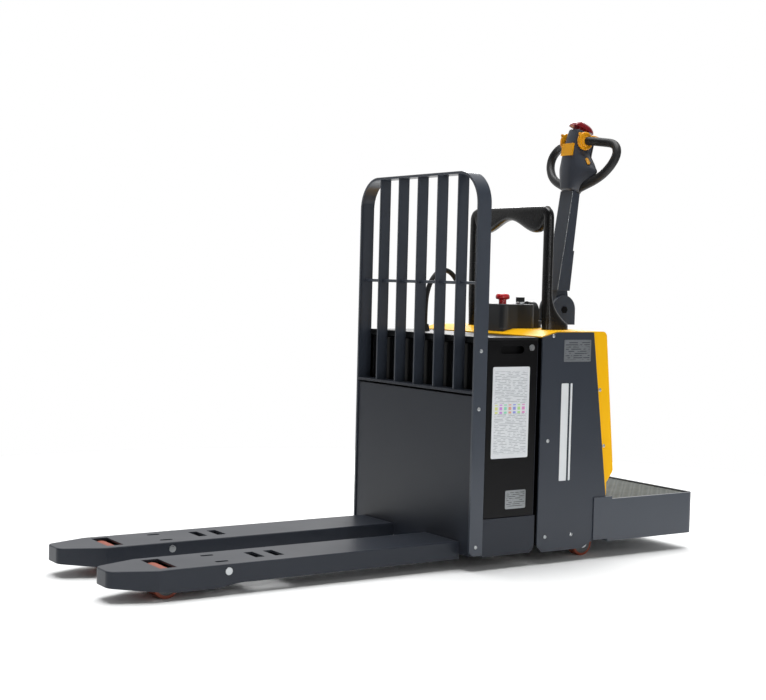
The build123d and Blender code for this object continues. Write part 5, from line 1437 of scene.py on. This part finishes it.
    def reverse_cap(self) -> None:
        """The belly button's cap on its neck.

        Over a rounded-square outline of relative radius r the top is under + rise times
        (1 - r^3)^(1/3), less a droop times f^2, where f is the relative place along the cap.
        """
        under, edge, crown = self.cap_levels
        low, high = self.cap_length
        centre, half = (low + high) / 2, (high - low) / 2
        angle = np.linspace(0, 2 * np.pi, 72, endpoint=False)
        c, s = np.cos(angle), np.sin(angle)
        power = self.cap_power
        square = (np.abs(c) ** power + np.abs(s) ** power) ** (-1 / power)
        r = np.concatenate([np.linspace(0.03, 0.9, 14), np.linspace(0.92, 1.0, 6)])[:, None]
        ry, rf = r * c * square, r * s * square
        dome = (crown - under) * np.cbrt(np.clip(1 - r ** 3, 0, 1))
        top = under + dome - (crown - edge) / 3 * rf ** 2
        rings = [self.place(self.cap_half * ry, np.maximum(top, under + 1), centre + half * rf)]
        last_y, last_f = self.cap_half * ry[-1], half * rf[-1]
        half_y, half_f, bottom = self.neck
        neck_y, neck_f = half_y * ry[-1], half_f * rf[-1]
        for y, f, up in ((last_y, last_f, under), (neck_y, neck_f, under),
                         (neck_y, neck_f, bottom)):
            rings.append(self.place(y, np.full_like(y, up), centre + f)[None])
        cap = make_piece("reverse_cap", [lofted(np.concatenate(rings))], DARK_RED_ABS,
                         "reverse_button", 50)
        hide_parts("belly_button")

    def build(self) -> None:
        """Makes the shells and the cap, and dresses the handles and the small controls."""
        self.shells()
        self.handles()
        self.reverse_cap()
        self.throttles()
        self.dress(YELLOW_ABS, "control_pad", "wing_button_left", "wing_button_right")


# ------------------------------------------------------------------------------ studio
@dataclass
class Studio:
    """Camera, floor, sky and soft lights.

    Attributes:
        place: of the camera, in metres.
        azimuth_deg, elevation_deg, roll_deg, lens_mm: of the camera.
        floor_m, floor_mm: radius and thickness of the floor.
        dome: the sky's strength on the dark side and on the backdrop's.
        dome_turn: how far towards the backdrop the one begins and the other is reached.
        backdrop: direction of the backdrop.
        sun_watts, sun_lean_deg, sun_turn_deg, sun_soft_deg: of the light from above.
        aim: what the soft boxes face.
        soft_boxes: name, place, width and height, and power of each.
    """

    place: tuple[float, float, float] = (-2.5774, -3.8624, 0.9053)
    azimuth_deg: float = -33.494
    elevation_deg: float = 2.8325
    roll_deg: float = 1.4317
    lens_mm: float = 67.41
    floor_m: float = 2.9
    floor_mm: float = 4.0
    dome: tuple[float, float] = (0.13, 0.85)
    dome_turn: tuple[float, float] = (-0.1, 0.75)
    backdrop: tuple[float, float, float] = (0.55, 0.83, 0.1)
    sun_watts: float = 3.2
    sun_lean_deg: float = -4.0
    sun_turn_deg: float = 60.0
    sun_soft_deg: float = 52.0
    aim: tuple[float, float, float] = (0.3, 0.0, 0.8)
    soft_boxes: tuple = (
        ("strip_left", (-1.2, -4.2, 1.7), (0.25, 2.2), 20),
        ("strip_front", (1.6, -4.0, 1.6), (0.12, 2.6), 20),
        ("strip_rear", (2.6, 2.6, 2.4), (1.2, 1.2), 40),
    )

    def camera(self) -> None:
        """The camera: it looks along minus "back", turned about it by the roll."""
        angles = (self.azimuth_deg, self.elevation_deg, self.roll_deg)
        az, el, roll = (math.radians(angle) for angle in angles)
        back = Vector((math.sin(az) * math.cos(el), -math.cos(az) * math.cos(el), math.sin(el)))
        right = (-back).cross(Vector((0, 0, 1))).normalized()
        up = right.cross(-back)
        across = math.cos(roll) * right + math.sin(roll) * up
        upright = math.cos(roll) * up - math.sin(roll) * right
        data = bpy.data.cameras.new("camera")
        data.lens, data.sensor_width, data.sensor_fit = self.lens_mm, 36.0, "HORIZONTAL"
        data.clip_end = 200.0
        camera = put("camera", data)
        turn = Matrix((across, upright, back)).transposed().to_4x4()
        camera.matrix_world = Matrix.Translation(self.place) @ turn
        bpy.context.scene.camera = camera

    def soft_box(self, name: str, place: tuple[float, float, float],
                 size: tuple[float, float], power: float) -> None:
        """A rectangular soft box that faces the aim.

        Args:
            name: its name.
            place: where it stands, in metres.
            size: its width and height.
            power: in watts.
        """
        data = bpy.data.lights.new(name, "AREA")
        data.shape, data.energy = "RECTANGLE", power
        data.size, data.size_y = size
        lamp = put(name, data)
        lamp.location = place
        away = Vector(place) - Vector(self.aim)
        lamp.rotation_euler = away.to_track_quat("Z", "Y").to_euler()

    def overhead(self) -> None:
        """A wide, soft light from far above."""
        data = bpy.data.lights.new("overhead", "SUN")
        data.energy, data.angle = self.sun_watts, math.radians(self.sun_soft_deg)
        lamp = put("overhead", data)
        lamp.rotation_euler = (math.radians(self.sun_lean_deg), 0,
                               math.radians(self.sun_turn_deg) - math.pi / 2)

    def sky(self) -> None:
        """An even white surround, which lights the truck from the backdrop's side."""
        world = bpy.data.worlds.new("studio")
        world.use_nodes = True
        tree = world.node_tree
        tree.nodes.clear()
        seen = add(tree, "ShaderNodeLightPath").outputs["Is Camera Ray"]
        direction = add(tree, "ShaderNodeTexCoord").outputs["Generated"]
        facing = add(tree, "ShaderNodeVectorMath", {0: direction, 1: self.backdrop},
                     operation="DOT_PRODUCT").outputs["Value"]
        lit = add(tree, "ShaderNodeMapRange", {
            "Value": facing, "From Min": self.dome_turn[0], "From Max": self.dome_turn[1],
            "To Min": self.dome[0], "To Max": self.dome[1],
        }, interpolation_type="SMOOTHSTEP").outputs["Result"]
        strength = add(tree, "ShaderNodeMapRange", {
            "Value": seen, "To Min": lit, "To Max": 1.0,
        }).outputs["Result"]
        dome = add(tree, "ShaderNodeBackground", {
            "Color": linear("#ffffff"), "Strength": strength,
        })
        add(tree, "ShaderNodeOutputWorld", {"Surface": dome.outputs["Background"]})
        bpy.context.scene.world = world

    def floor(self) -> None:
        """A wide round floor, pale and nearly even."""
        radius = self.floor_m * 1000
        profile = [(1.0, -self.floor_mm), (radius, -self.floor_mm), (radius, 0.0), (1.0, 0.0)]
        points, faces = lofted(turned(profile, (0, 0, 0), (0, 0, 1), columns=96))
        mesh = bpy.data.meshes.new("studio_floor")
        mesh.from_pydata(points.tolist(), [], faces)
        # Matt emulsion paint, rolled: even, with no highlight.
        paint = Finish("matt_white_floor", "#f7f8f8", 0.7, mottle=0.01, mottle_mm=900,
                       grain_mm=40, grain_depth_mm=0.05, edge_mm=0.5)
        mesh.materials.append(material_of(paint))
        put("studio_floor", mesh)

    def build(self) -> None:
        """Places the camera, the floor, the sky and the lights."""
        self.camera()
        self.floor()
        self.sky()
        self.overhead()
        for soft_box in self.soft_boxes:
            self.soft_box(*soft_box)
        bpy.context.scene.view_settings.view_transform = "Standard"


def main() -> None:
    """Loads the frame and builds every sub-assembly."""
    logging.basicConfig(level=logging.INFO, format="%(name)s: %(message)s")
    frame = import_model()
    Studio().build()
    nodes = frame["nodes"]
    for kind in (BatteryCable, Forks, Backrest, BatteryBox, DriveChassis, Platform, Console, Tiller,
                 TillerHead):
        kind(nodes).build()
        log.info("finished %s", kind.__name__)


if __name__ == "__main__":
    main()
